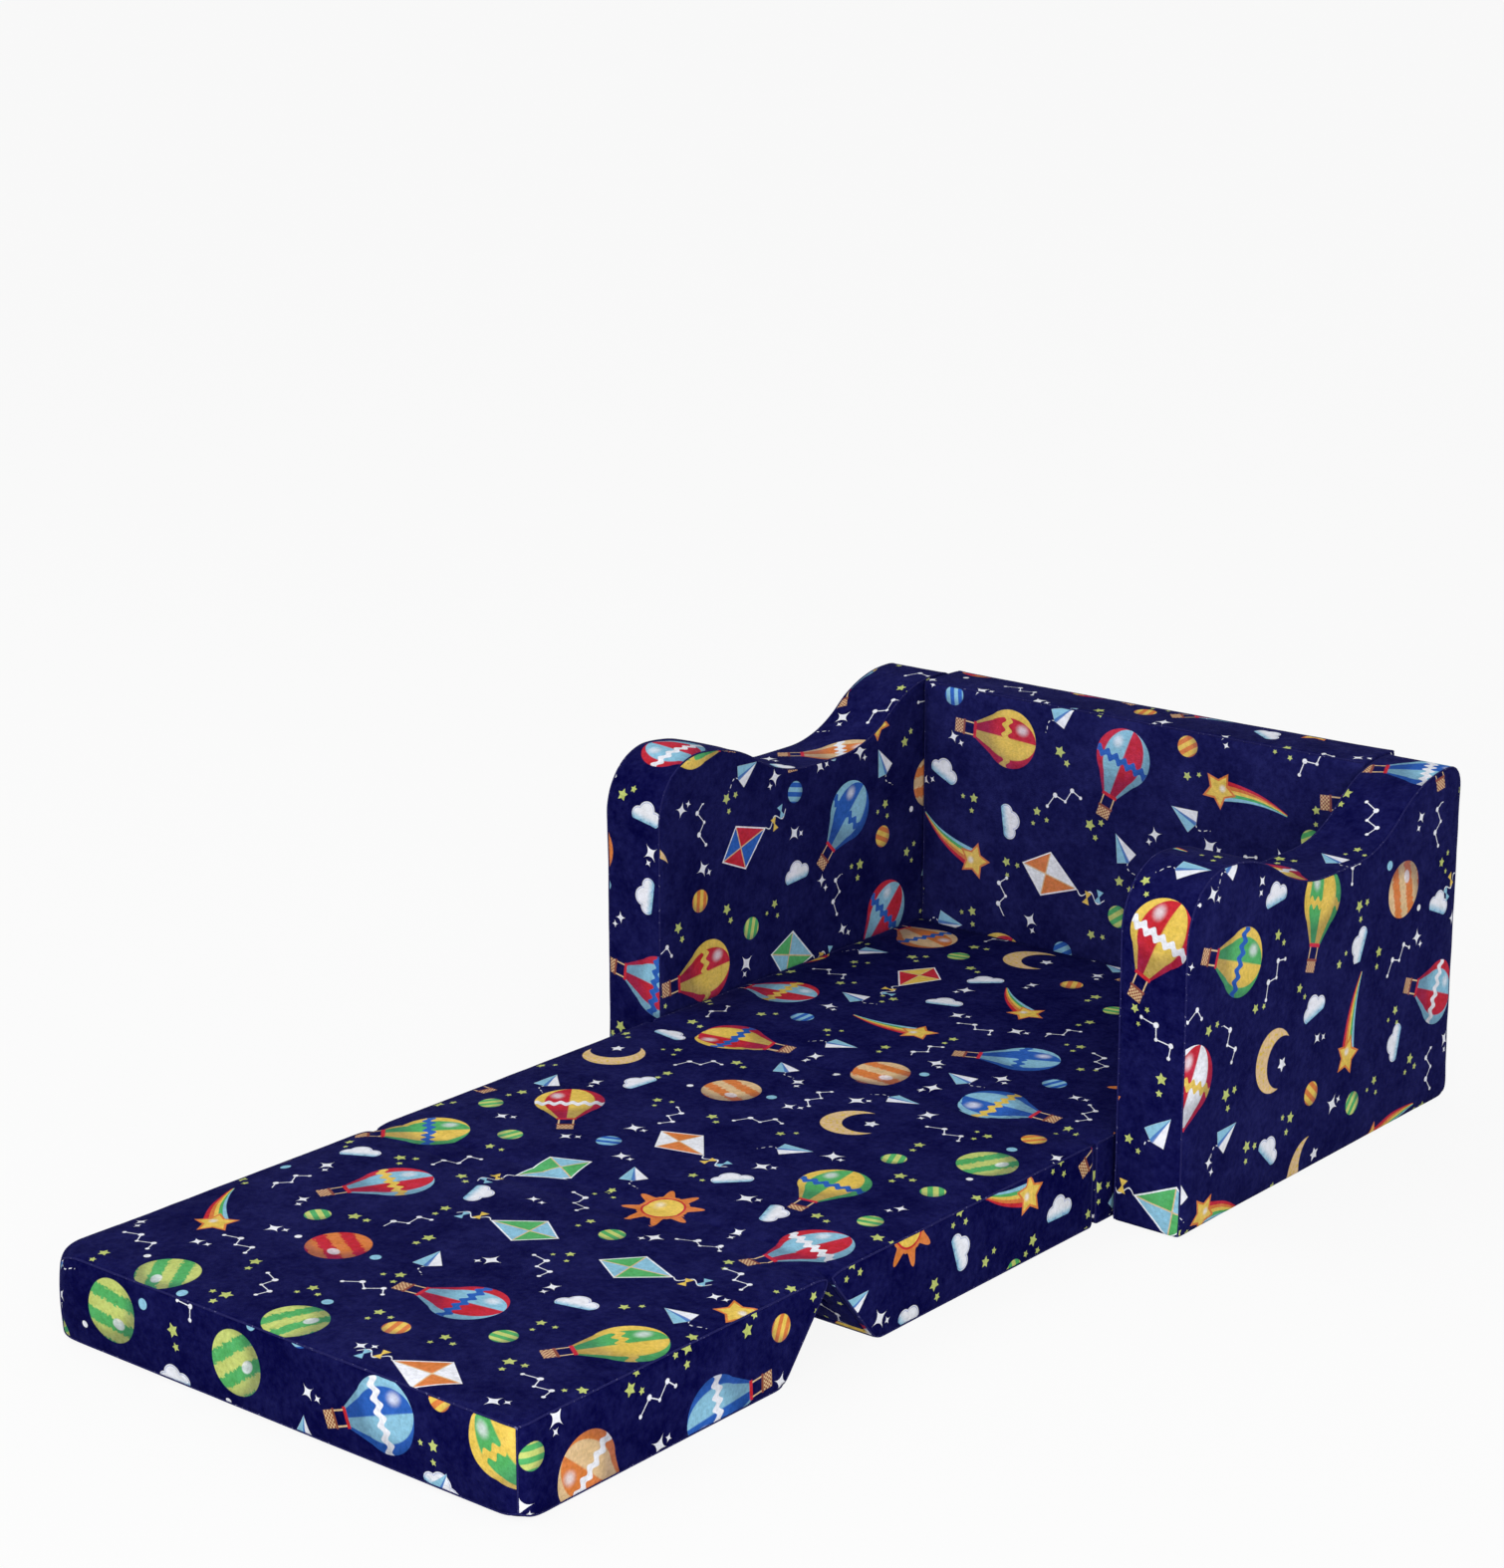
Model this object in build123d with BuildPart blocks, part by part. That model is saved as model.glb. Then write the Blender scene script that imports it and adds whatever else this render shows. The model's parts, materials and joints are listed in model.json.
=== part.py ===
from build123d import *
from math import cos, radians, sin, tan
import os

# A child's flip-open sofa of covered foam, shown as a bed.
# X runs across the sofa, Y towards its back and Z up. Lengths are in millimetres, angles in degrees.
# The origin is on the floor, under the middle of the fixed frame.

# Fixed frame: two full-depth arms with the back standing between them
overall_width = 560
frame_depth = 400
back_height = 282
arm_thickness = 60
back_thickness = 52

# Side outline of an arm, from its front face, its rear face and the top of the back
hump_drop = 6
front_round_radius = 52
dip_drop = 46
dip_start = 195
dip_end = 235
plateau_length = 28
rear_round_radius = 20

# Folding pads: the crown from side to side lies a little above the crown from end to end
panel_thickness = 66
crown = 1.5
side_crown_lift = 0.25
draw_in = 1.5
side_clearance = 1.5
hinge_reach = 16
backrest_length = 306
free_corner_radius = 12

# Fold between the seat pad and the backrest pad
recline = 12
mitre_ease = 1
fold_height = 60
shoulder_length = 16
fold_gap = 0.8

# Hinge between the base pad and the seat pad
hinge_gap = 1.6
crown_ease = 0.25
lean_gap = 1
seam_depth = 10
fold_seam_depth = 5
seam_end_margin = 6

# Cloth
cover_thickness = 1.2
foam_ease = 0.3
base_cloth_thickness = 0.8
edge_round = 4
zip_band_thickness = 4
zip_band_margin = 8

# How far a shape that trims a pad reaches past it
trim_overrun = 10

# Hook and loop strips that hold the base pad to the back
strip_end_margin = 37
strip_height = 20
strip_thickness = 1.5
strip_rise = 34

# Zips
zip_side_margin = 19
zip_tape_width = 12
zip_tape_thickness = 0.6
zip_chain_width = 4
zip_chain_height = 1.4
zip_end_margin = 6
zip_stop_length = 3
zip_stop_height = 2
zip_slider_length = 11
zip_slider_width = 8
zip_slider_height = 2.2
zip_slider_radius = 1.5
zip_slider_clearance = 0.2
frame_zip_rise = 24

# Places worked out from the sizes above
half_width = overall_width / 2
foam_skin = cover_thickness + foam_ease
front_y = -frame_depth / 2
rear_y = frame_depth / 2
inner_half_width = half_width - arm_thickness
back_inner_y = rear_y - back_thickness
panel_half_width = inner_half_width - side_clearance
pad_waist = 2 * (panel_half_width - draw_in)
band_width = pad_waist - 2 * zip_band_margin
zip_length = band_width - 2 * zip_side_margin
strip_length = pad_waist - 2 * strip_end_margin
hinge_y = front_y - hinge_reach
hinge_height = panel_thickness + crown + crown_ease
fold_angle = 90 - recline
mitre = radians((fold_angle + mitre_ease) / 2)

# The seat pad is as long as lets the folded backrest lean on the top edge of the back
lean_rise = back_height - (2 * hinge_height - fold_height)
face_rise = panel_thickness + crown - fold_height
lean_reach = face_rise / cos(radians(recline)) + lean_rise * tan(radians(recline))
seat_length = back_inner_y - lean_gap - lean_reach - hinge_y
fold_y = hinge_y - seat_length
free_end_y = fold_y - backrest_length


def sweep(start, end):
    """Two equal arcs that leave the start level and reach the end level."""
    middle = (start + end) / 2
    first = TangentArc(start, middle, tangent=(1, 0))
    TangentArc(middle, end, tangent=first % 1)


def arm_side(base, skin):
    """Side outline of an arm standing on the height base, drawn in all round by skin."""
    hump_height = back_height - hump_drop
    dip_height = back_height - dip_drop
    hump = Vector(front_y + front_round_radius, hump_height)
    dip = Vector(front_y + dip_start, dip_height)
    dip_far = Vector(front_y + dip_end, dip_height)
    plateau = Vector(rear_y - plateau_length, back_height)
    with BuildSketch() as side:
        with BuildLine():
            front = Line((front_y, base), (front_y, hump_height - front_round_radius))
            TangentArc(front @ 1, hump, tangent=front % 1)
            sweep(hump, dip)
            Line(dip, dip_far)
            sweep(dip_far, plateau)
            top = Line(plateau, (rear_y - rear_round_radius, back_height))
            corner = TangentArc(top @ 1, (rear_y, back_height - rear_round_radius), tangent=top % 1)
            rear = Line(corner @ 1, (rear_y, base))
            Line(rear @ 1, front @ 0)
        make_face()
        if skin:
            offset(amount=-skin)
    return side.sketch


def pad_block(pad_front, pad_rear, front_mitre, rear_mitre, low, skin, corner_radius):
    """A crowned pad drawn in at its sides. A mitred end is placed where it meets the fold line,
    and its mitre is the horizontal run of the end face for each unit of height."""
    high = panel_thickness - skin
    half = panel_half_width - skin
    middle = (pad_front + pad_rear) / 2
    front_low = pad_front + front_mitre * (fold_height - low)
    rear_low = pad_rear - rear_mitre * (fold_height - low)
    front_high = pad_front + (shoulder_length if front_mitre else 0)
    rear_high = pad_rear - (shoulder_length if rear_mitre else 0)

    # The shapes that trim the pad carry its curves on past its ends and sides
    half_length = (pad_rear - pad_front) / 2
    trim_front = pad_front - trim_overrun
    trim_rear = pad_rear + trim_overrun
    trim_half = half + draw_in * (((half_length + trim_overrun) / half_length) ** 2 - 1)
    trim_side = half + trim_overrun
    arch_top = high + crown + side_crown_lift
    arch_end = arch_top - crown * (trim_side / half) ** 2
    with BuildPart() as block:
        with BuildSketch(Plane.YZ):
            with BuildLine():
                bottom = Line((front_low, low), (rear_low, low))
                ThreePointArc((rear_high, high), (middle, high + crown), (front_high, high))
                if rear_mitre:
                    rear_face = Line(bottom @ 1, (pad_rear, fold_height))
                    TangentArc((rear_high, high), rear_face @ 1, tangent=(1, 0))
                else:
                    Line(bottom @ 1, (rear_high, high))
                if front_mitre:
                    front_face = Line(bottom @ 0, (pad_front, fold_height))
                    TangentArc((front_high, high), front_face @ 1, tangent=(-1, 0))
                else:
                    Line(bottom @ 0, (front_high, high))
            make_face()
        extrude(amount=trim_side, both=True)
        with BuildSketch(Plane.XY.offset(low - trim_overrun)):
            with BuildLine():
                right = ThreePointArc(
                    (trim_half, trim_front), (half - draw_in, middle), (trim_half, trim_rear)
                )
                rear = Line(right @ 1, (-trim_half, trim_rear))
                left = ThreePointArc(rear @ 1, (draw_in - half, middle), (-trim_half, trim_front))
                Line(left @ 1, right @ 0)
            make_face()
        extrude(amount=high + crown - low + 2 * trim_overrun, mode=Mode.INTERSECT)
        with BuildSketch(Plane.XZ.offset(-trim_rear)):
            with BuildLine():
                foot = Line((-trim_side, low - trim_overrun), (trim_side, low - trim_overrun))
                wall = Line(foot @ 1, (trim_side, arch_end))
                arch = ThreePointArc(wall @ 1, (0, arch_top), (-trim_side, arch_end))
                Line(arch @ 1, foot @ 0)
            make_face()
        extrude(amount=trim_rear - trim_front, mode=Mode.INTERSECT)
        if corner_radius:
            fillet(block.edges().filter_by(Axis.Z).group_by(Axis.Y)[0], radius=corner_radius)
    return block.part


def save(part, name):
    """Label a finished piece and write it as a STEP file."""
    part.label = name
    export_step(part, f"parts/{name}.step")


def zip_pieces(name, face, depth):
    """Tape, chain, stops and slider of a zip that lies in a slot of this depth in a face."""
    chain_length = zip_length - 2 * zip_end_margin
    stop_place = (chain_length + zip_stop_length) / 2
    slider_place = (chain_length - zip_slider_length) / 2 - zip_slider_clearance
    on_tape = face.offset(zip_tape_thickness - depth)

    with BuildPart() as tape:
        with BuildSketch(face.offset(-depth)):
            Rectangle(zip_length, zip_tape_width)
        extrude(amount=zip_tape_thickness)
    save(tape.part, f"{name}_zip_tape")

    with BuildPart() as chain:
        with BuildSketch(on_tape):
            Rectangle(chain_length, zip_chain_width)
        extrude(amount=zip_chain_height)
    save(chain.part, f"{name}_zip_chain")

    with BuildPart() as stops:
        with BuildSketch(on_tape):
            with Locations((-stop_place, 0), (stop_place, 0)):
                Rectangle(zip_stop_length, zip_chain_width)
        extrude(amount=zip_stop_height)
    save(stops.part, f"{name}_zip_stops")

    with BuildPart() as slider:
        with BuildSketch(on_tape.offset(zip_slider_clearance)):
            with Locations((slider_place, 0)):
                RectangleRounded(zip_slider_length, zip_slider_width, zip_slider_radius)
        extrude(amount=zip_slider_height)
        with BuildSketch(on_tape.offset(zip_slider_clearance)):
            with Locations((slider_place, 0)):
                Rectangle(zip_slider_length, zip_chain_width + 2 * zip_slider_clearance)
        extrude(amount=zip_chain_height, mode=Mode.SUBTRACT)
    save(slider.part, f"{name}_zip_slider")


os.makedirs("parts", exist_ok=True)

# Arms: a foam board in an open-bottomed cover, closed by a base cloth
for side_name, arm_x in (("left", -half_width), ("right", inner_half_width)):
    with BuildPart() as arm_base_cloth:
        with BuildSketch():
            with Locations((arm_x + arm_thickness / 2, 0)):
                Rectangle(arm_thickness, frame_depth)
        extrude(amount=base_cloth_thickness)
    save(arm_base_cloth.part, f"{side_name}_arm_base_cloth")

    with BuildPart() as arm_cover:
        with BuildSketch(Plane.YZ.offset(arm_x)):
            add(arm_side(base_cloth_thickness, 0))
        extrude(amount=arm_thickness)
        outline = arm_cover.faces().filter_by(Axis.X).edges()
        above_base = (base_cloth_thickness, back_height, (False, True))
        fillet(outline.filter_by_position(Axis.Z, *above_base), radius=edge_round)
        with BuildSketch(Plane.YZ.offset(arm_x + cover_thickness)):
            add(arm_side(base_cloth_thickness - cover_thickness, cover_thickness))
        extrude(amount=arm_thickness - 2 * cover_thickness, mode=Mode.SUBTRACT)
    save(arm_cover.part, f"{side_name}_arm_cover")

    with BuildPart() as arm_foam:
        with BuildSketch(Plane.YZ.offset(arm_x + foam_skin)):
            add(arm_side(base_cloth_thickness - foam_skin, foam_skin))
        extrude(amount=arm_thickness - 2 * foam_skin)
    save(arm_foam.part, f"{side_name}_arm_foam")

# Back: a foam board between the arms, covered in the same way, with a zip low on its rear face
rear_face_plane = Plane(origin=(0, rear_y, frame_zip_rise), x_dir=(1, 0, 0), z_dir=(0, 1, 0))
back_middle_y = rear_y - back_thickness / 2
back_width = 2 * inner_half_width

with BuildPart() as back_base_cloth:
    with BuildSketch():
        with Locations((0, back_middle_y)):
            Rectangle(back_width, back_thickness)
    extrude(amount=base_cloth_thickness)
save(back_base_cloth.part, "back_base_cloth")

with BuildPart() as back_cover:
    with BuildSketch(Plane.XY.offset(base_cloth_thickness)):
        with Locations((0, back_middle_y)):
            Rectangle(back_width, back_thickness)
    extrude(amount=back_height - base_cloth_thickness)
    fillet(back_cover.faces().sort_by(Axis.Z)[-1].edges().filter_by(Axis.X), radius=edge_round)
    with BuildSketch(Plane.XY.offset(base_cloth_thickness)):
        with Locations((0, back_middle_y)):
            Rectangle(back_width - 2 * cover_thickness, back_thickness - 2 * cover_thickness)
    extrude(amount=back_height - base_cloth_thickness - cover_thickness, mode=Mode.SUBTRACT)
    with BuildSketch(rear_face_plane):
        Rectangle(zip_length, zip_tape_width)
    extrude(amount=-cover_thickness, mode=Mode.SUBTRACT)
save(back_cover.part, "back_cover")

with BuildPart() as back_foam:
    with BuildSketch(Plane.XY.offset(base_cloth_thickness)):
        with Locations((0, back_middle_y)):
            Rectangle(back_width - 2 * foam_skin, back_thickness - 2 * foam_skin)
    extrude(amount=back_height - base_cloth_thickness - foam_skin)
save(back_foam.part, "back_foam")

zip_pieces("frame", rear_face_plane, foam_skin)

# Hook and loop strips between the back and the base pad
for strip_name, strip_rear_y in (("hook", back_inner_y), ("loop", back_inner_y - strip_thickness)):
    with BuildPart() as strip:
        with BuildSketch(Plane.XZ.offset(-strip_rear_y)):
            with Locations((0, strip_rise)):
                Rectangle(strip_length, strip_height)
        extrude(amount=strip_thickness)
    save(strip.part, f"{strip_name}_strip")

# Base pad: stays flat on the floor inside the frame
base_front_y = hinge_y + hinge_gap / 2
base_rear_y = back_inner_y - 2 * strip_thickness
base_length = base_rear_y - base_front_y

with BuildPart() as base_panel_base_cloth:
    with BuildSketch():
        with Locations((0, (base_front_y + base_rear_y) / 2)):
            Rectangle(pad_waist, base_length)
    extrude(amount=base_cloth_thickness)
save(base_panel_base_cloth.part, "base_panel_base_cloth")

with BuildPart() as base_panel_cover:
    add(pad_block(base_front_y, base_rear_y, 0, 0, base_cloth_thickness, 0, 0))
    add(
        pad_block(
            base_front_y + cover_thickness,
            base_rear_y - cover_thickness,
            0,
            0,
            base_cloth_thickness,
            cover_thickness,
            0,
        ),
        mode=Mode.SUBTRACT,
    )
save(base_panel_cover.part, "base_panel_cover")

save(
    pad_block(
        base_front_y + foam_skin, base_rear_y - foam_skin, 0, 0, base_cloth_thickness, foam_skin, 0
    ),
    "base_panel_foam",
)

# Seat pad and backrest pad: each has one mitred end, closed by a band that holds a zip
seat_rear_y = hinge_y - hinge_gap / 2
seat_front_y = fold_y + fold_gap / 2
backrest_rear_y = fold_y - fold_gap / 2
mitre_run = tan(mitre)
band_run = zip_band_thickness / cos(mitre)
face_length = fold_height / cos(mitre)
band_height = face_length - 2 * zip_band_margin


def mitre_plane(edge_y, side):
    """Plane on a mitred end face, centred on it; side is 1 where the face looks towards the back."""
    return Plane(
        origin=(0, edge_y - side * mitre_run * fold_height / 2, fold_height / 2),
        x_dir=(1, 0, 0),
        z_dir=(0, side * cos(mitre), -sin(mitre)),
    )


def folding_pad(name, pad_front, pad_rear, front_mitre, rear_mitre, face, corner_radius):
    """Cover, foam, zip band and zip of a pad that folds."""
    foam_front = pad_front + (band_run if front_mitre else foam_skin)
    foam_rear = pad_rear - (band_run if rear_mitre else foam_skin)
    cloth_front = pad_front + (band_run if front_mitre else cover_thickness)
    cloth_rear = pad_rear - (band_run if rear_mitre else cover_thickness)
    cover_corner = max(corner_radius - cover_thickness, 0)
    foam_corner = max(corner_radius - foam_skin, 0)

    with BuildPart() as cover:
        add(pad_block(pad_front, pad_rear, front_mitre, rear_mitre, 0, 0, corner_radius))
        add(
            pad_block(
                cloth_front,
                cloth_rear,
                front_mitre,
                rear_mitre,
                cover_thickness,
                cover_thickness,
                cover_corner,
            ),
            mode=Mode.SUBTRACT,
        )
        with BuildSketch(face):
            Rectangle(band_width, band_height)
        extrude(amount=-zip_band_thickness, mode=Mode.SUBTRACT)
    save(cover.part, f"{name}_panel_cover")

    save(
        pad_block(
            foam_front, foam_rear, front_mitre, rear_mitre, foam_skin, foam_skin, foam_corner
        ),
        f"{name}_panel_foam",
    )

    with BuildPart() as zip_band:
        with BuildSketch(face):
            Rectangle(band_width, band_height)
            Rectangle(zip_length, zip_tape_width, mode=Mode.SUBTRACT)
        extrude(amount=-zip_band_thickness)
    save(zip_band.part, f"{name}_zip_band")

    zip_pieces(name, face, zip_band_thickness)


folding_pad("seat", seat_front_y, seat_rear_y, mitre_run, 0, mitre_plane(seat_front_y, -1), 0)
folding_pad(
    "backrest",
    free_end_y,
    backrest_rear_y,
    0,
    mitre_run,
    mitre_plane(backrest_rear_y, 1),
    free_corner_radius,
)

# Sewn seams that join the pads along the two hinge lines
seam_width = pad_waist - 2 * seam_end_margin

with BuildPart() as front_hinge_seam:
    with BuildSketch(Plane.XY.offset(panel_thickness - seam_depth)):
        with Locations((0, hinge_y)):
            Rectangle(seam_width, hinge_gap)
    extrude(amount=seam_depth)
save(front_hinge_seam.part, "front_hinge_seam")

with BuildPart() as fold_seam:
    seam_low = fold_height - fold_seam_depth
    low_half = fold_gap / 2 + fold_seam_depth * mitre_run
    with BuildSketch(Plane.YZ):
        with BuildLine():
            Polyline(
                (fold_y - fold_gap / 2, fold_height),
                (fold_y + fold_gap / 2, fold_height),
                (fold_y + low_half, seam_low),
                (fold_y - low_half, seam_low),
                close=True,
            )
        make_face()
    extrude(amount=seam_width / 2, both=True)
save(fold_seam.part, "fold_seam")
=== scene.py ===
"""A child's flip-open sofa bed: covers, foam, zips and hinge strips built on its packed frame.

Lengths are in metres. X runs across the sofa, Y towards its back and Z up.
"""

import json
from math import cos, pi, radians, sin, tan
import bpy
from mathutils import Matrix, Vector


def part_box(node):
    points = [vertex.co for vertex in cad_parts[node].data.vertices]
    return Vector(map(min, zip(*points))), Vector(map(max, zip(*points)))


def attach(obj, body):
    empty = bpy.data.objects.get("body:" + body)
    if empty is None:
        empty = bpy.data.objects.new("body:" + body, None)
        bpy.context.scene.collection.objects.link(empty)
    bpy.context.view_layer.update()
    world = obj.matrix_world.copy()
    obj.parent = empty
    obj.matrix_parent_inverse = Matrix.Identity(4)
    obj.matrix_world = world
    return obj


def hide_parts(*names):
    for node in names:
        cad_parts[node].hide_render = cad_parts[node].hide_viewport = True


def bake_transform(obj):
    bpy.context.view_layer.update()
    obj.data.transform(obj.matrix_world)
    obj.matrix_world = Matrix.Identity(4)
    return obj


bl_info = {
    "name": "Flip-open sofa bed",
    "version": (1, 0, 0),
    "blender": (4, 5, 0),
    "location": "3D View > Sidebar > Sofa bed",
    "description": "Models the covers, foam, zips and finishes of a flip-open sofa bed",
    "category": "Add Mesh",
}

import bpy
import numpy as np
from bpy.props import FloatProperty, FloatVectorProperty, IntProperty, PointerProperty
from mathutils import Matrix, Vector
from mathutils.bvhtree import BVHTree

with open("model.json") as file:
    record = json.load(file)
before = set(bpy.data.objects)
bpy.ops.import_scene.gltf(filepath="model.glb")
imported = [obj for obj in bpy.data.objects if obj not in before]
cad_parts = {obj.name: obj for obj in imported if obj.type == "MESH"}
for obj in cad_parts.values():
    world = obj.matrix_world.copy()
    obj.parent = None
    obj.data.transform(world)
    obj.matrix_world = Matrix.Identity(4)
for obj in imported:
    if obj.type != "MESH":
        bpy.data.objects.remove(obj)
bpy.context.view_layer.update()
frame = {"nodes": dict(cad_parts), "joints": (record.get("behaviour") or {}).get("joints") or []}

NODES = frame["nodes"]
JOINTS = {joint["name"]: joint for joint in frame["joints"]}
SEAT_HINGE = Vector(JOINTS["seat_fold"]["pos_m"])
BACK_HINGE = Vector(JOINTS["back_fold"]["pos_m"])
MM = 0.001

# How the cloth of a cover resists stretching, squeezing, shearing and bending, and how it grows
CLOTH = {
    "quality": 5,
    "tension_stiffness": 18,
    "compression_stiffness": 18,
    "shear_stiffness": 6,
    "bending_stiffness": 0.4,
    "shrink_min": -0.012,
    "use_pressure": True,
}
CREASE = 0.25 * MM  # unevenness of the cloth before it settles
ROUND_STEPS = 40  # points on each arc of an arm's outline
SHOULDER_STEPS = 16  # points on the shoulder of a pad
CORNER_SPREAD = 0.35  # how much wider a free corner is rounded at its top and its foot
RIM_DROP = 0.6 * MM  # how far a cover's foot reaches below its grip cloth
FOAM_ROUND = 2 * MM


def size_property(name, description, default):
    """A length that a user may change."""
    return FloatProperty(
        name=name, description=description, default=default, unit="LENGTH", subtype="DISTANCE"
    )


def colour_property(name, description, default):
    """A colour that a user may change, in linear values."""
    return FloatVectorProperty(
        name=name, description=description, default=default, size=3, subtype="COLOR", min=0, max=1
    )


class ArmShape(bpy.types.PropertyGroup):
    """The wavy side outline of an arm."""

    hump_drop: size_property("Hump drop", "How far the front hump lies below the back", 6 * MM)
    front_round: size_property("Front round", "Radius of the front top corner", 52 * MM)
    dip_drop: size_property("Dip drop", "How far the dip lies below the back", 46 * MM)
    dip_start: size_property("Dip start", "From the front face to the start of the dip", 195 * MM)
    dip_end: size_property("Dip end", "From the front face to the end of the dip", 235 * MM)
    plateau: size_property("Plateau", "Length of the level top at the rear", 28 * MM)
    rear_round: size_property("Rear round", "Radius of the rear top corner", 20 * MM)
    foot_round: size_property("Foot round", "Radius of the rear foot", 11 * MM)


class PadShape(bpy.types.PropertyGroup):
    """The section of a folding pad."""

    mitre: FloatProperty(
        name="Mitre",
        description="Lean of the end faces that meet when the pads fold",
        default=radians(39.5),
        unit="ROTATION",
        subtype="ANGLE",
    )
    shoulder: size_property("Shoulder", "Length of the rounded shoulder at the fold", 16 * MM)
    fold_lift: size_property("Fold lift", "How far a cover rises over the fold line", 2.6 * MM)
    corner: size_property("Free corner", "Radius of the corners at the free end", 12 * MM)
    corner_reach: size_property("Corner reach", "How far a soft corner reaches", 27 * MM)
    left_sink: size_property("Left sink", "How far the left top corner sinks", 9 * MM)
    right_sink: size_property("Right sink", "How far the right top corner sinks", 2 * MM)
    corner_rise: size_property("Corner rise", "How far the lower corners rise", 5 * MM)
    foot_round: size_property("Foot round", "Radius of the lower edge at the free end", 9 * MM)
    mitre_round: size_property("Mitre round", "Radius of the foot of a mitred end", 7 * MM)
    band_recess: size_property("Band recess", "Depth of the face behind the zip band", 4.4 * MM)
    band_margin: size_property("Band margin", "Rim of cover round the zip band", 8 * MM)


class ClothShape(bpy.types.PropertyGroup):
    """How the covers are sewn and how they puff."""

    grid: size_property("Grid", "Spacing of the mesh of a cover", 6 * MM)
    foam_grid: size_property("Foam grid", "Spacing of the mesh of a foam block", 22 * MM)
    foam_inset: size_property("Foam inset", "Depth of the foam under its cover", 5 * MM)
    side_inset: size_property("Side inset", "How far a seam lies inside the pad's size", 1.2 * MM)
    puff: size_property("Puff", "How far a free face may swell", 2.4 * MM)
    tight_puff: size_property("Tight puff", "How far a face beside another may swell", 0.8 * MM)
    welt: size_property("Welt", "Radius of the ridge along a seam", 0.75 * MM)
    pressure: FloatProperty(
        name="Pressure", description="Air pressure while the cloth settles", default=3.0, min=0
    )
    frames: IntProperty(
        name="Frames", description="Steps that the cloth is given to settle", default=20, min=1
    )
    seed: IntProperty(name="Seed", description="Seed of the creases in the cloth", default=7)


class PrintColours(bpy.types.PropertyGroup):
    """Colours of the plush and of its print."""

    ground: colour_property("Ground", "Navy of the plush", (0.0009, 0.0009, 0.0470))
    red: colour_property("Red", "Red of the print", (0.560, 0.022, 0.028))
    blue: colour_property("Blue", "Blue of the print", (0.024, 0.118, 0.480))
    sky: colour_property("Sky blue", "Pale blue of the print", (0.262, 0.540, 0.700))
    green: colour_property("Green", "Green of the print", (0.090, 0.430, 0.120))
    leaf: colour_property("Star green", "Yellow green of the small stars", (0.560, 0.640, 0.170))
    yellow: colour_property("Yellow", "Yellow of the print", (0.800, 0.560, 0.090))
    orange: colour_property("Orange", "Orange of the print", (0.700, 0.210, 0.040))
    sand: colour_property("Sand", "Sand of the print", (0.740, 0.520, 0.270))
    brown: colour_property("Brown", "Red brown of the print", (0.260, 0.070, 0.035))
    white: colour_property("White", "White of the print", (0.860, 0.875, 0.930))


class PrintSizes(bpy.types.PropertyGroup):
    """Spacing of the print."""

    across: size_property("Across", "Spacing of the large motifs across the cloth", 121 * MM)
    along: size_property("Along", "Spacing of the rows of large motifs", 102 * MM)
    scatter: size_property("Scatter", "How far a large motif strays from its place", 8 * MM)


# Curves and grids of points


def sweep(start, end, steps):
    """Points of two equal arcs that leave the start level and reach the end level."""
    half = (np.array(end) - start) / 2
    radius = (half @ half) / (2 * abs(half[1]))
    run = np.linspace(0, 2 * half[0], steps)
    near = np.minimum(run, 2 * half[0] - run)
    rise = np.sign(half[1]) * (radius - np.sqrt(radius**2 - near**2))
    height = np.where(run <= half[0], start[1] + rise, end[1] - rise)
    return np.stack([start[0] + run, height], 1)


def round_corner(centre, radius, start, turn, steps):
    """Points of an arc about the centre, from an angle through a turn."""
    angle = np.linspace(start, start + turn, steps)
    return np.array(centre) + radius * np.stack([np.cos(angle), np.sin(angle)], 1)


def distances(points):
    """Length along a run of points up to each of them."""
    steps = np.linalg.norm(np.diff(points, axis=0), axis=1)
    return np.concatenate([[0], np.cumsum(steps)])


def spaced(points, start, end, count):
    """Evenly spaced points on a run, between two lengths along it."""
    along = distances(points)
    at = np.linspace(start, end, count)
    return np.stack([np.interp(at, along, column) for column in points.T], 1)


def filled(bottom, rear, top, front):
    """Grid of points inside four edges: bottom and top run to the rear, the other two run up."""
    along = np.linspace(0, 1, len(bottom))[:, None, None]
    up = np.linspace(0, 1, len(front))[None, :, None]
    rows = (1 - up) * bottom[:, None] + up * top[:, None]
    columns = (1 - along) * front[None] + along * rear[None]
    low = (1 - along) * bottom[0] + along * bottom[-1]
    high = (1 - along) * top[0] + along * top[-1]
    return rows + columns - (1 - up) * low - up * high


def cells(length, grid):
    """How many steps of about one grid width a length takes."""
    return max(2, round(length / grid))


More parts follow.
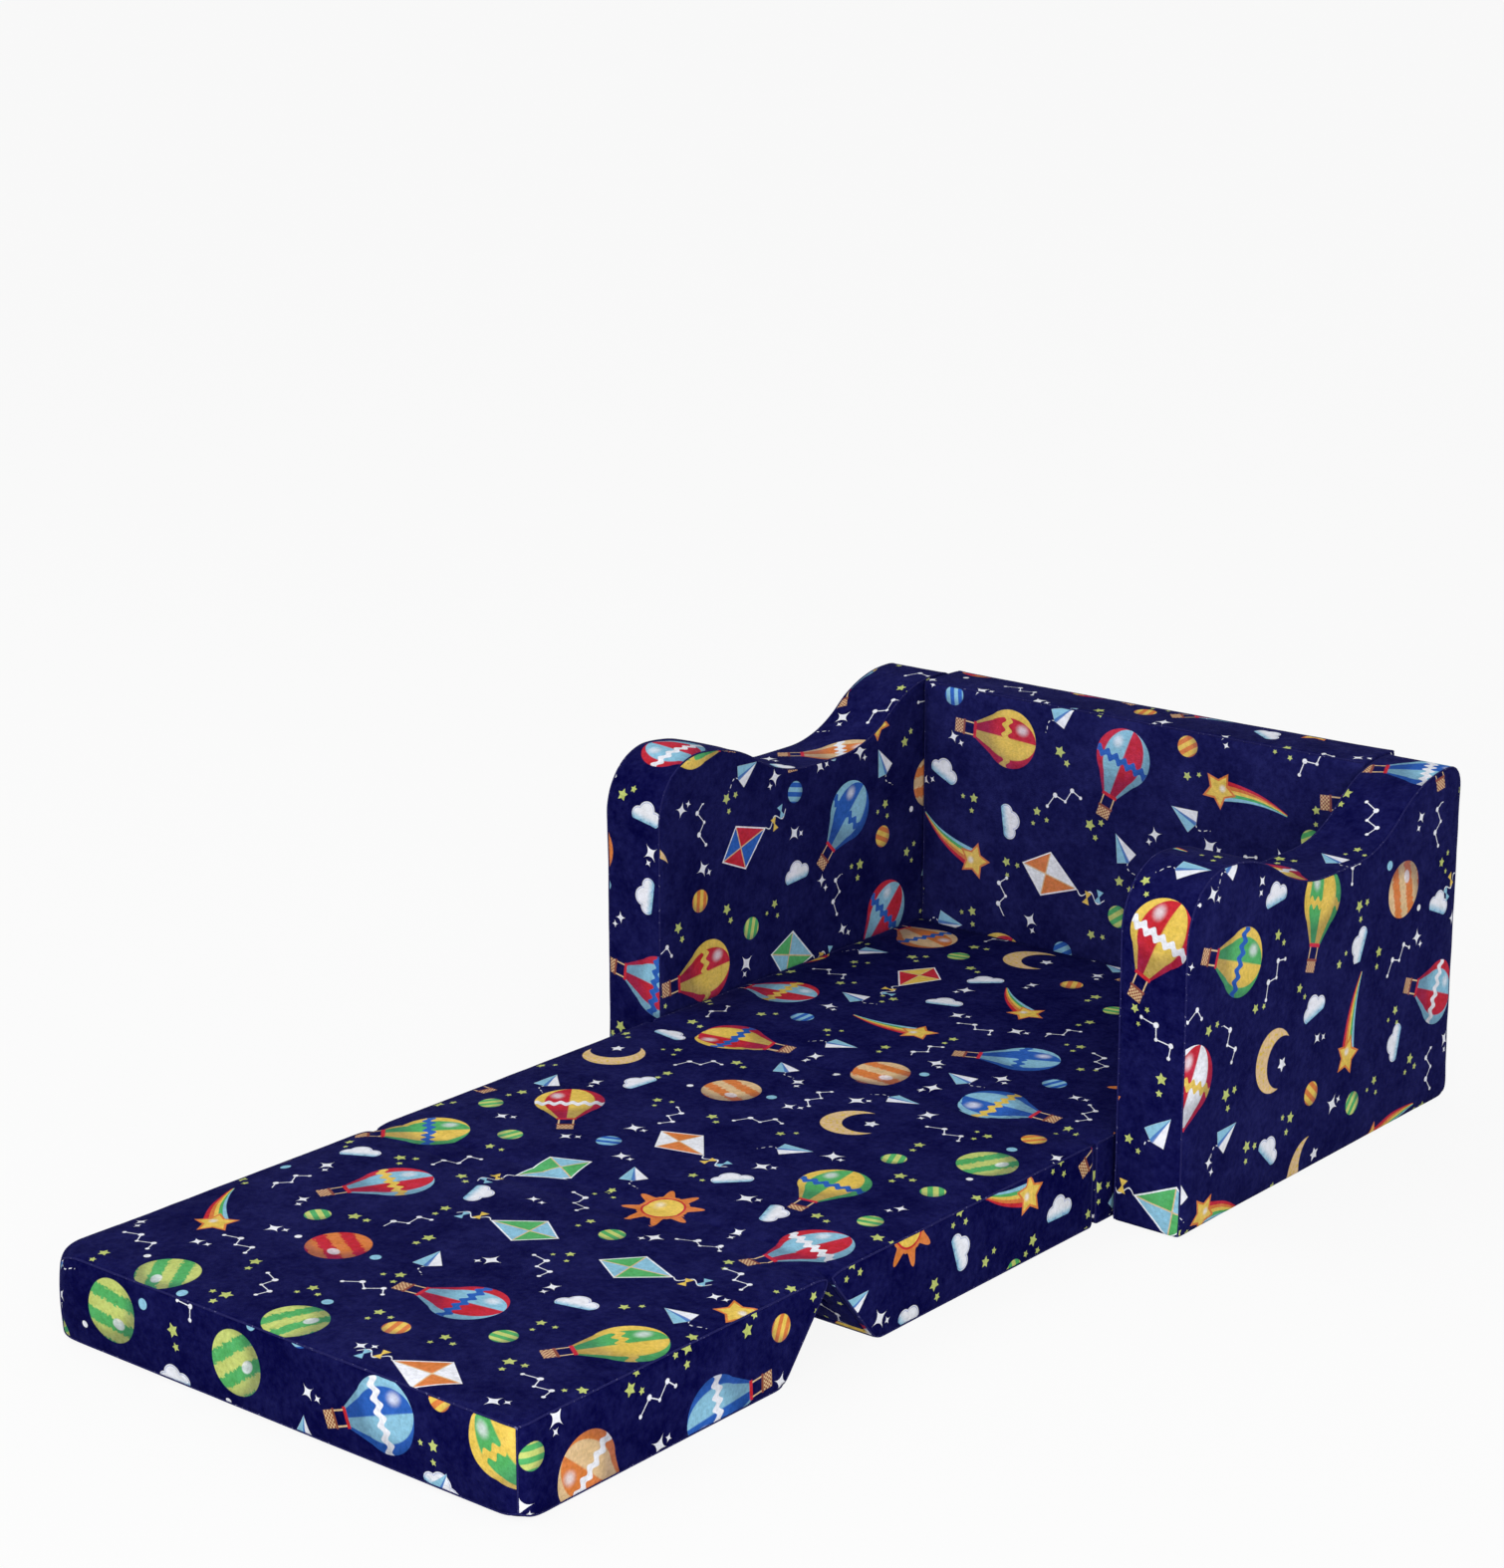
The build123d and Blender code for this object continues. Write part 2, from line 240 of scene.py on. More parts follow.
class SewnBlock:
    """A closed cover laid out as a box of cells: i runs to the rear, j upwards and k across."""

    SIDES = ("front", "rear", "bottom", "top", "left", "right")

    def __init__(self, side_grid, x_low, x_high, grid):
        self.grid = side_grid
        self.cells = (
            side_grid.shape[0] - 1,
            side_grid.shape[1] - 1,
            cells(x_high - x_low, grid),
        )
        across = np.linspace(x_low, x_high, self.cells[2] + 1)
        index = {}
        self.faces = []
        self.sides = []
        for number, side in enumerate(self.SIDES):
            axis, far = number // 2, number % 2
            one, two = [a for a in range(3) if a != axis]
            for a in range(self.cells[one]):
                for b in range(self.cells[two]):
                    corners = []
                    for step_a, step_b in ((0, 0), (1, 0), (1, 1), (0, 1)):
                        place = [0, 0, 0]
                        place[axis] = far * self.cells[axis]
                        place[one] = a + step_a
                        place[two] = b + step_b
                        corners.append(index.setdefault(tuple(place), len(index)))
                    turned = (axis == 1) != bool(far)
                    self.faces.append(corners if turned else corners[::-1])
                    self.sides.append(side)
        self.places = np.array(list(index))
        flat = side_grid[self.places[:, 0], self.places[:, 1]]
        self.points = np.column_stack([across[self.places[:, 2]], flat])

    def on(self, side):
        """Which points lie on one side of the box."""
        number = self.SIDES.index(side)
        axis, far = number // 2, number % 2
        return self.places[:, axis] == far * self.cells[axis]

    def strip_lengths(self):
        """Length round the outline, from the front foot over the top to the rear foot."""
        along, up, _ = self.cells
        outline = np.concatenate([self.grid[0], self.grid[1:, up], self.grid[along, up - 1 :: -1]])
        run = distances(outline)
        lengths = np.zeros(self.grid.shape[:2])
        lengths[0] = run[: up + 1]
        lengths[:, up] = run[up : up + along + 1]
        lengths[along, ::-1] = run[up + along :]
        return lengths

    def mesh(self, name, seams, panel_map, lay=None):
        """Makes the object, with its sewn edges marked and each panel laid flat in the cloth map.

        A side's value in the last argument is light or shade painted into that panel: above 0 it
        is drawn lighter, below 0 darker.
        """
        data = bpy.data.meshes.new(name)
        data.from_pydata(self.points.tolist(), [], self.faces)
        piece = bpy.data.objects.new(name, data)
        bpy.context.scene.collection.objects.link(piece)
        beside = {}
        for face, side in zip(data.polygons, self.sides):
            for key in face.edge_keys:
                beside.setdefault(key, set()).add(side)
        for edge in data.edges:
            edge.use_seam = frozenset(beside[edge.key]) in seams
        cloth_map = data.uv_layers.new(name="cloth")
        flat = {side: panel_map(self, side) for side in self.SIDES}
        for face, side in zip(data.polygons, self.sides):
            for loop in face.loop_indices:
                cloth_map.uv[loop].vector = flat[side][data.loops[loop].vertex_index]
        if lay:
            # painted light and shade: each face keeps the painted lightening or darkening of its
            # panel
            tips = data.attributes.new("lay", "FLOAT", "FACE")
            tips.data.foreach_set("value", [lay.get(side, 0) for side in self.sides])
        return piece


def seams_between(*pairs):
    """Sewn edges of a block, given as the sides that meet there."""
    return {frozenset(pair.split()) for pair in pairs}


# Finishing of meshes


def only(piece):
    """Makes one object the selected and active one."""
    bpy.ops.object.select_all(action="DESELECT")
    piece.select_set(True)
    bpy.context.view_layer.objects.active = piece


def apply_modifier(piece, kind, **settings):
    """Adds a modifier with these settings and applies it."""
    only(piece)
    modifier = piece.modifiers.new(kind.title(), kind)
    for name, value in settings.items():
        setattr(modifier, name, value)
    bpy.ops.object.modifier_apply(modifier=modifier.name)


def smooth(piece):
    """Shades every face of a piece smooth."""
    only(piece)
    bpy.ops.object.shade_smooth()


def points_of(piece):
    """Coordinates of a piece's vertices."""
    flat = np.zeros(len(piece.data.vertices) * 3)
    piece.data.vertices.foreach_get("co", flat)
    return flat.reshape(-1, 3)


def move_points(piece, points):
    """Gives a piece's vertices new coordinates."""
    piece.data.vertices.foreach_set("co", points.ravel())
    piece.data.update()


def settle(piece, cloth, reach, floor):
    """Lets a cover swell as cloth over its foam, and holds each point within its reach.

    No point goes below the floor height.
    """
    start = points_of(piece)
    normals = np.array([vertex.normal for vertex in piece.data.vertices])
    chance = np.random.default_rng(cloth.seed)
    rough = chance.normal(0, CREASE, len(start))
    move_points(piece, start + normals * rough[:, None])
    modifier = piece.modifiers.new("Cloth", "CLOTH")
    settings = modifier.settings
    for name, value in CLOTH.items():
        setattr(settings, name, value)
    settings.uniform_pressure_force = cloth.pressure
    settings.effector_weights.gravity = 0
    modifier.collision_settings.use_collision = False
    modifier.point_cache.frame_start = 1
    modifier.point_cache.frame_end = cloth.frames
    for step in range(1, cloth.frames + 1):
        bpy.context.scene.frame_set(step)
    only(piece)
    bpy.ops.object.modifier_apply(modifier=modifier.name)
    bpy.context.scene.frame_set(1)
    moved = points_of(piece) - start
    length = np.linalg.norm(moved, axis=1, keepdims=True)
    end = start + moved * reach[:, None] / (length + reach[:, None] + 1e-9)
    end[:, 2] = np.maximum(end[:, 2], floor)
    move_points(piece, end)


def add_welts(piece, radius, thread):
    """Lays a fine ridge along the sewn edges of a cover and joins it to the cover."""
    only(piece)
    bpy.ops.object.mode_set(mode="EDIT")
    bpy.ops.mesh.select_mode(type="EDGE")
    bpy.ops.mesh.select_all(action="DESELECT")
    bpy.ops.object.mode_set(mode="OBJECT")
    for edge in piece.data.edges:
        edge.select = edge.use_seam
    bpy.ops.object.mode_set(mode="EDIT")
    bpy.ops.mesh.duplicate()
    bpy.ops.mesh.separate(type="SELECTED")
    bpy.ops.object.mode_set(mode="OBJECT")
    welt = next(o for o in bpy.context.selected_objects if o != piece)
    only(welt)
    bpy.ops.object.mode_set(mode="EDIT")
    bpy.ops.mesh.select_all(action="SELECT")
    bpy.ops.mesh.delete(type="ONLY_FACE")
    bpy.ops.object.mode_set(mode="OBJECT")
    welt.data.materials.clear()
    bpy.ops.object.convert(target="CURVE")
    welt.data.bevel_depth = radius
    welt.data.bevel_resolution = 1
    welt.data.use_fill_caps = True
    bpy.ops.object.convert(target="MESH")
    welt.data.materials.clear()
    welt.data.materials.append(thread)
    smooth(welt)
    only(piece)
    welt.select_set(True)
    bpy.ops.object.join()


def finish_cover(piece, cloth, body, node):
    """Rounds a settled cover, adds its welts and puts it in place of its node."""
    apply_modifier(piece, "SUBSURF", levels=1, render_levels=1)
    piece.data.materials.append(plush())
    smooth(piece)
    add_welts(piece, cloth.welt, seam_thread())
    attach(piece, body)
    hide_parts(node)


# Outlines of the pads


def arm_grid(shape, low, high, grid):
    """Side grid of an arm between two corners of its box, each (y, z)."""
    front, rear = low[0], high[0]
    hump = (front + shape.front_round, high[1] - shape.hump_drop)
    dip = (front + shape.dip_start, high[1] - shape.dip_drop)
    dip_far = (front + shape.dip_end, dip[1])
    plateau = (rear - shape.plateau, high[1])
    steps = ROUND_STEPS
    front_centre = (hump[0], hump[1] - shape.front_round)
    rear_centre = (rear - shape.rear_round, high[1] - shape.rear_round)
    outline = np.concatenate(
        [
            [(front, low[1])],
            round_corner(front_centre, shape.front_round, pi, -pi / 2, steps),
            sweep(hump, dip, steps)[1:],
            sweep(dip_far, plateau, steps),
            round_corner(rear_centre, shape.rear_round, pi / 2, -pi / 2, steps),
            [(rear, low[1])],
        ]
    )
    run = distances(outline)
    front_corner = run[1 + steps // 2]
    rear_corner = run[-2 - steps // 2]
    up = cells(front_corner, grid) + 1
    along = cells(rear_corner - front_corner, grid) + 1
    bottom = np.linspace(low, (rear, low[1]), along)
    left = spaced(outline, 0, front_corner, up)
    top = spaced(outline, front_corner, rear_corner, along)
    right = spaced(outline, rear_corner, run[-1], up)[::-1]
    return filled(bottom, right, top, left)


def pad_grid(pad, low, high, mitre_front, mitre_rear, grid):
    """Side grid of a pad; a mitred end is given by its place where it meets the fold line."""
    fold_height = BACK_HINGE.z + pad.fold_lift
    lean = tan(pad.mitre) * BACK_HINGE.z

    def end_edge(y, mitred, way):
        if not mitred:
            return np.array([(y, low[1]), (y, high[1])])
        return np.array([(y + way * lean, low[1]), (y, BACK_HINGE.z), (y, fold_height)])

    def shoulder(y, way):
        drop = high[1] - fold_height
        radius = (pad.shoulder**2 + drop**2) / (2 * drop)
        run = np.linspace(0, pad.shoulder, SHOULDER_STEPS)
        height = high[1] - radius + np.sqrt(radius**2 - run**2)
        return np.stack([y + way * (pad.shoulder - run), height], 1)

    front = end_edge(low[0], mitre_front, 1)
    rear = end_edge(high[0], mitre_rear, -1)
    start = shoulder(low[0], 1)[::-1] if mitre_front else front[-1:]
    stop = shoulder(high[0], -1) if mitre_rear else rear[-1:]
    top = np.concatenate([start, stop])
    along = cells(high[0] - low[0], grid) + 1
    up = cells(high[1] - low[1], grid) + 1
    return filled(
        np.linspace(front[0], rear[0], along),
        spaced(rear, 0, distances(rear)[-1], up),
        spaced(top, 0, distances(top)[-1], along),
        spaced(front, 0, distances(front)[-1], up),
    )


def closeness(distance, reach):
    """1 at no distance, and down to 0 at the reach."""
    return np.clip(1 - distance / reach, 0, 1)


def rounded(one, two):
    """Shares of a square corner, moved so that the corner is round."""
    return one * np.sqrt(1 - two**2 / 2), two * np.sqrt(1 - one**2 / 2)


def sink_corners(block, pad, y_end):
    """Softens a block's free end: its top corners sink, the lower ones rise and all are round."""
    points = block.points
    x, y, z = points.T.copy()
    side = closeness(np.abs(x).max() - np.abs(x), pad.corner_reach)
    end = closeness(np.abs(y - y_end), pad.corner_reach)
    share = (z - z.min()) / (z.max() - z.min())
    sink = np.where(x < 0, pad.left_sink, pad.right_sink)
    points[:, 2] += (side * end) ** 2 * (pad.corner_rise * (1 - share) ** 2 - sink * share**2)
    round_plan_corners(block, pad.corner * (1 + CORNER_SPREAD * (2 * share - 1) ** 2), y_end)


def round_plan_corners(block, radius, y_end):
    """Rounds the two upright corners of a block at its free end, by a radius for each point."""
    points = block.points
    half = np.abs(points[:, 0]).max()
    side = closeness(half - np.abs(points[:, 0]), radius)
    end = closeness(np.abs(points[:, 1] - y_end), radius)
    in_corner = (side > 0) & (end > 0)
    new_side, new_end = rounded(side, end)
    sign = np.sign(points[:, 0])
    points[in_corner, 0] = (sign * (half - radius * (1 - new_side)))[in_corner]
    points[in_corner, 1] = (y_end + radius * (1 - new_end))[in_corner]


# Maps that lay the sewn panels flat, in metres of cloth. Each panel has a shift of its own, so
# that the print doesn't repeat from panel to panel.

SIDE_SHIFT = 0.37
END_SHIFT = 0.57
PANEL_SHIFT = 0.291


def wrapped_map(shift):
    """Panel map of a block whose strip runs over it from foot to foot between two side panels."""

    def panel_map(block, side):
        x, y, z = block.points.T
        if side in ("left", "right"):
            flat = np.stack([-y if side == "left" else y, z], 1)
            return flat + np.array(shift) + SIDE_SHIFT * SewnBlock.SIDES.index(side)
        if side == "bottom":
            return np.stack([x, y], 1) + np.array(shift)
        run = block.strip_lengths()[block.places[:, 0], block.places[:, 1]]
        return np.stack([x, run], 1) + np.array(shift)

    return panel_map


def pad_map(shift, front_side):
    """Panel map of a bed pad, whose print runs on from the top of one pad to the next.

    The side that faces forwards when the sofa is folded is one run of print for base and seat.
    """

    def panel_map(block, side):
        x, y, z = block.points.T
        if side == "top":
            return np.stack([x, y], 1)
        if side == front_side:
            return np.stack([x, z if side == "front" else 2 * SEAT_HINGE.z - z], 1) + END_SHIFT
        moved = np.array(shift) + PANEL_SHIFT * (SewnBlock.SIDES.index(side) + 1)
        if side in ("left", "right"):
            return np.stack([y if side == "right" else -y, z], 1) + moved
        if side == "bottom":
            return np.stack([-x, y], 1) + moved
        rise = distances(block.grid[0 if side == "front" else -1])
        up = rise[block.places[:, 1]]
        return np.stack([x if side == "front" else -x, up], 1) + moved

    return panel_map


# Materials


class Wire:
    """A socket of a material's tree, so that shader maths reads as Python."""

    def __init__(self, shader, socket):
        self.shader = shader
        self.socket = socket

    def math(self, operation, *others):
        return self.shader.math(operation, self, *others)

    def __add__(self, other):
        return self.math("ADD", other)

    __radd__ = __add__

    def __sub__(self, other):
        return self.math("SUBTRACT", other)

    def __rsub__(self, other):
        return self.shader.math("SUBTRACT", other, self)

    def __mul__(self, other):
        return self.math("MULTIPLY", other)

    __rmul__ = __mul__

    def __truediv__(self, other):
        return self.math("DIVIDE", other)

    def __neg__(self):
        return self.math("MULTIPLY", -1)

    def __abs__(self):
        return self.math("ABSOLUTE")

    def __lt__(self, other):
        return self.math("LESS_THAN", other)

    def __gt__(self, other):
        return self.math("GREATER_THAN", other)


class Shader:
    """The node tree of one material, or of the world."""

    def __init__(self, name="", tree=None):
        if tree is None:
            self.material = bpy.data.materials.new(name)
            self.material.use_nodes = True
            tree = self.material.node_tree
        self.tree = tree
        self.tree.nodes.clear()

    def node(self, kind, settings=None, sockets=None):
        """Adds a node; its settings are set first, then the values or links of its sockets."""
        made = self.tree.nodes.new(kind)
        for name, value in (settings or {}).items():
            if name == "stops":
                self.set_stops(made.color_ramp, value)
            elif name == "ramp_steps":
                made.color_ramp.interpolation = value
            else:
                setattr(made, name, value)
        for name, value in (sockets or {}).items():
            if isinstance(value, Wire):
                self.tree.links.new(value.socket, made.inputs[name])
            else:
                made.inputs[name].default_value = value
        return made

    @staticmethod
    def set_stops(ramp, stops):
        """Gives a ramp its stops, each (position, colour)."""
        while len(ramp.elements) < len(stops):
            ramp.elements.new(1)
        for element, (position, colour) in zip(ramp.elements, stops):
            element.position = position
            element.color = (*colour, 1)

    def wire(self, kind, settings=None, sockets=None, output=0):
        """Adds a node and gives one of its outputs."""
        return Wire(self, self.node(kind, settings, sockets).outputs[output])

    def math(self, operation, *values):
        """Adds a Math node."""
        return self.wire("ShaderNodeMath", {"operation": operation}, dict(enumerate(values)))

    def inside(self, distance, soft=0.35):
        """1 where a distance is below zero and 0 where it is above, with a soft edge."""
        return self.wire(
            "ShaderNodeMapRange",
            {"interpolation_type": "SMOOTHSTEP"},
            {"Value": distance, "From Min": soft, "From Max": -soft, "To Min": 0, "To Max": 1},
        )

    def length(self, x, y):
        """Distance of (x, y) from the origin."""
        return (x * x + y * y).math("SQRT")

    def stroke(self, x, y, start, end, half):
        """Mask of a straight stroke between two points."""
        run_x, run_y = end[0] - start[0], end[1] - start[1]
        share = ((x - start[0]) * run_x + (y - start[1]) * run_y) / (run_x**2 + run_y**2)
        share = share.math("MAXIMUM", 0).math("MINIMUM", 1)
        gap = self.length(x - start[0] - share * run_x, y - start[1] - share * run_y)
        return self.inside(gap - half, 0.25)

    def mix(self, below, above, share):
        """Lays one colour over another by a share."""
        sockets = {0: share, 6: self.colour(below), 7: self.colour(above)}
        return self.wire("ShaderNodeMix", {"data_type": "RGBA", "clamp_factor": True}, sockets, 2)

    @staticmethod
    def colour(value):
        """A colour as a socket takes it."""
        return value if isinstance(value, Wire) else (*value, 1)

    def scaled(self, colour, factor):
        """A colour made lighter or darker by a factor."""
        sockets = {0: colour if isinstance(colour, Wire) else colour[:], "Scale": factor}
        return self.wire("ShaderNodeVectorMath", {"operation": "SCALE"}, sockets)

    def noise(self, place, scale, detail=2, roughness=0.5, output=0):
        """Smooth noise at a place, from 0 to 1."""
        sockets = {"Vector": place, "Scale": scale, "Detail": detail, "Roughness": roughness}
        return self.wire("ShaderNodeTexNoise", None, sockets, output)

    def ramp(self, share, stops, interpolation="LINEAR"):
        """A colour picked along a ramp of stops."""
        settings = {"stops": stops, "ramp_steps": interpolation}
        return self.wire("ShaderNodeValToRGB", settings, {0: share})

    def split(self, vector):
        """The x, y and z of a vector."""
        parts = self.node("ShaderNodeSeparateXYZ", None, {0: vector})
        return [Wire(self, output) for output in parts.outputs]

    def place(self):
        """Object coordinates."""
        return self.wire("ShaderNodeTexCoord", output=3)

    def finish(self, colour, roughness, height, bump, **constants):
        """Adds the surface shader with a colour, a roughness and a bump of a height map."""
        surface = {"Base Color": colour, "Roughness": roughness, **constants}
        if height is not None:
            surface["Normal"] = self.wire(
                "ShaderNodeBump", None, {"Height": height, "Distance": bump, "Strength": 1}
            )
        shader = self.wire("ShaderNodeBsdfPrincipled", None, surface)
        self.node("ShaderNodeOutputMaterial", None, {"Surface": shader})
        return self.material


def kept(name):
    """A decorator: the material is made once and then given again."""

    def decorate(make):
        def given():
            return bpy.data.materials.get(name) or make(Shader(name))

        return given

    return decorate


class Site:
    """The nearest place of a motif on the cloth, with the chances that belong to it."""

    def __init__(self, shader, x, y, column, row, seed):
        self.x, self.y = x, y
        self.pick = self.chances(shader, column, row, seed)[0]
        self.one, self.two, self.three = self.chances(shader, column, row, seed + 10)

    @staticmethod
    def chances(shader, column, row, seed):
        """Three chances from 0 to 1 that belong to a place."""
        cell = shader.wire("ShaderNodeCombineXYZ", None, {0: column, 1: row, 2: seed})
        noise = shader.wire(
            "ShaderNodeTexWhiteNoise", {"noise_dimensions": "3D"}, {"Vector": cell}, "Color"
        )
        parts = shader.node("ShaderNodeSeparateColor", None, {0: noise})
        return [Wire(shader, output) for output in parts.outputs]

    def turned(self, shader, angle):
        """Local coordinates turned by an angle."""
        place = shader.wire("ShaderNodeCombineXYZ", None, {0: self.x, 1: self.y})
        sockets = {"Vector": place, "Angle": angle}
        spun = shader.wire("ShaderNodeVectorRotate", {"rotation_type": "Z_AXIS"}, sockets)
        return shader.split(spun)[:2]


def vertex_site(shader, u, v, across, along):
    """Nearest place of a large motif: rows of places, every other row shifted by half a step."""
    row = (v / along).math("ROUND")
    odd = row - 2 * (row / 2).math("FLOOR")
    column = (u / across - odd / 2).math("ROUND")
    x = u - (column + odd / 2) * across
    y = v - row * along
    return Site(shader, x, y, column, row, 1)


def middle_site(shader, u, v, across, along):
    """Nearest place of a small motif, in the middle between three large ones."""
    band = (v / along).math("FLOOR")
    high = ((v / along - band) * 2).math("FLOOR")
    odd = band - 2 * (band / 2).math("FLOOR")
    phase = abs(1 - odd - high) / 2
    column = (u / across - phase).math("ROUND")
    x = u - (column + phase) * across
    y = v - (band + 1 / 3 + high / 3) * along
    return Site(shader, x, y, column, band * 2 + high, 2)


def edge_site(shader, u, v, across, along):
    """Nearest place of a star, half way between two large motifs."""
    row = (v / (along / 2)).math("ROUND")
    odd = row - 2 * (row / 2).math("FLOOR")
    stagger = (row / 4 - (row / 4).math("FLOOR")) * 2 * (1 - odd)
    offset = (odd / 4 + (1 - odd) * (0.5 + stagger / 2)) * across
    step = across * (1 - odd / 2)
    column = ((u - offset) / step).math("ROUND")
    x = u - offset - column * step
    y = v - row * (along / 2)
    return Site(shader, x, y, column, row, 3)


def five_points(shader, x, y, radius):
    """Mask of a five-pointed star."""
    angle = x.math("ARCTAN2", y) / (2 * pi / 5)
    folded = abs(angle - angle.math("ROUND")) * (2 * pi / 5)
    far = shader.length(x, y)
    edge = far * folded.math("COSINE") + far * folded.math("SINE") * 1.85
    return shader.inside(edge - radius)


def four_points(shader, x, y, radius):
    """Mask of a sparkle with four thin points."""
    reach = abs(x).math("SQRT") + abs(y).math("SQRT")
    return shader.inside(reach * reach - radius)


# The print's motifs. Their lengths are millimetres of cloth; x and y start at the motif's middle.


@kept("navy_plush")
def plush(s):
    """Navy plush with a night-sky print of balloons, kites, planets and stars."""
    colours = bpy.context.scene.sofa_colours
    sizes = bpy.context.scene.sofa_print
    across, along = sizes.across / MM, sizes.along / MM
    flat = s.wire("ShaderNodeUVMap", {"uv_map": "cloth"})
    u, v = (way * 1000 for way in s.split(flat)[:2])
    wash = s.noise(flat, 130, 2, 0.6)
    paint = s.noise(flat, 330, 1, 0.6)
    colour = colours.ground
    for print_layer in (print_stars, print_small, print_large):
        colour = print_layer(s, colours, colour, u, v, across, along, paint)

    place = s.place()
    crush = s.noise(place, 220, 3, 0.66)
    wisp = s.noise(place, 70, 2, 0.6)
    patch = s.noise(place, 22, 2, 0.55)
    nap = s.noise(place, 900, 2, 0.6)
    pile = 0.5 + 1.7 * (crush - 0.5) + 1.0 * (wisp - 0.5) + 1.3 * (patch - 0.5)
    pile = pile.math("MAXIMUM", 0).math("MINIMUM", 1)
    # painted light and shade of the panel, read from its faces: it adds pale haze to the random
    # pile tone
    lay = s.wire("ShaderNodeAttribute", {"attribute_name": "lay"}, None, 2)
    pile_and_painted_light = s.mix(colour, (0.08, 0.088, 0.33), 0.10 * pile + lay)
    shade = 0.82 + 0.30 * pile + 0.10 * (wash - 0.5) + 0.12 * (nap - 0.5)
    # the panel's painted light and shade also scale the colour
    shade = shade * (1 + 2 * lay)
    return s.finish(
        s.scaled(pile_and_painted_light, shade),
        0.94 - 0.10 * pile,
        nap * 0.5 + crush * 0.9,
        0.0012,
        **{
            "Specular IOR Level": 0.025,
            "Sheen Weight": 0.01,
            "Sheen Roughness": 0.5,
            "Sheen Tint": (0.22, 0.26, 0.90, 1),
        },
    )


def print_stars(s, colours, colour, u, v, across, along, paint):
    """Clusters of yellow green stars and pairs of white sparkles."""
    site = edge_site(s, u, v, across, along)
    x, y = site.turned(s, (site.one - 0.5) * 3)
    x = x + (site.two - 0.5) * 12
    y = y + (site.three - 0.5) * 8
    size = 3.8 + 1.8 * site.two
    starry = site.pick < 0.56
    stars = five_points(s, x, y, size)
    stars = stars.math("MAXIMUM", five_points(s, x - 10, y + 6, size * 0.62))
    stars = stars.math("MAXIMUM", five_points(s, x + 4, y + 11, size * 0.55) * (site.three > 0.5))
    sparks = four_points(s, x, y, 6 + 4 * site.two)
    sparks = sparks.math("MAXIMUM", four_points(s, x - 6, y + 7, 4))
    colour = s.mix(colour, colours.leaf, stars * starry * (0.75 + 0.3 * paint))
    return s.mix(colour, colours.white, sparks * (1 - starry))


def print_small(s, colours, colour, u, v, across, along, paint):
    """Star charts, clouds, paper planes and striped balls."""
    site = middle_site(s, u, v, across, along)
    x, y = site.turned(s, (site.one - 0.5) * 3)
    x = x + (site.two - 0.5) * 9
    y = y + (site.three - 0.5) * 9
    for draw, low, high in (
        (draw_chart, 0, 0.34),
        (draw_cloud, 0.34, 0.54),
        (draw_paper_plane, 0.54, 0.76),
        (draw_ball, 0.76, 1.01),
    ):
        parts = draw(s, colours, x, y, site, paint)
        colour = lay_parts(s, colour, parts, site, low, high, 0.9 + 0.2 * paint)
    return colour


def print_large(s, colours, colour, u, v, across, along, paint):
    """Balloons, kites, shooting stars, banded planets, moons and suns."""
    site = vertex_site(s, u, v, across, along)
    stray = bpy.context.scene.sofa_print.scatter / MM * 2
    site.x = site.x + (site.two - 0.5) * stray
    site.y = site.y + (site.three - 0.5) * stray
    x, y = site.turned(s, (site.one - 0.5) * 4)
    for draw, low, high in (
        (draw_balloon, 0, 0.34),
        (draw_kite, 0.34, 0.52),
        (draw_shooting_star, 0.52, 0.69),
        (draw_planet, 0.69, 0.81),
        (draw_moon, 0.81, 0.90),
        (draw_sun, 0.90, 1.01),
    ):
        parts = draw(s, colours, x, y, site, paint)
        colour = lay_parts(s, colour, parts, site, low, high, 0.74 + 0.5 * paint)
    return colour


def lay_parts(s, colour, parts, site, low, high, painted):
    """Lays the parts of a motif over a colour, where the site's chance picks that motif."""
    chosen = (site.pick > low - 0.001) * (site.pick < high)
    for part, mask in parts:
        colour = s.mix(colour, s.scaled(part, painted), mask * chosen)
    return colour


def picked(s, chance, tones):
    """One of several colours, by chance."""
    stops = [(place / len(tones), tone) for place, tone in enumerate(tones)]
    return s.ramp(chance, stops, "CONSTANT")


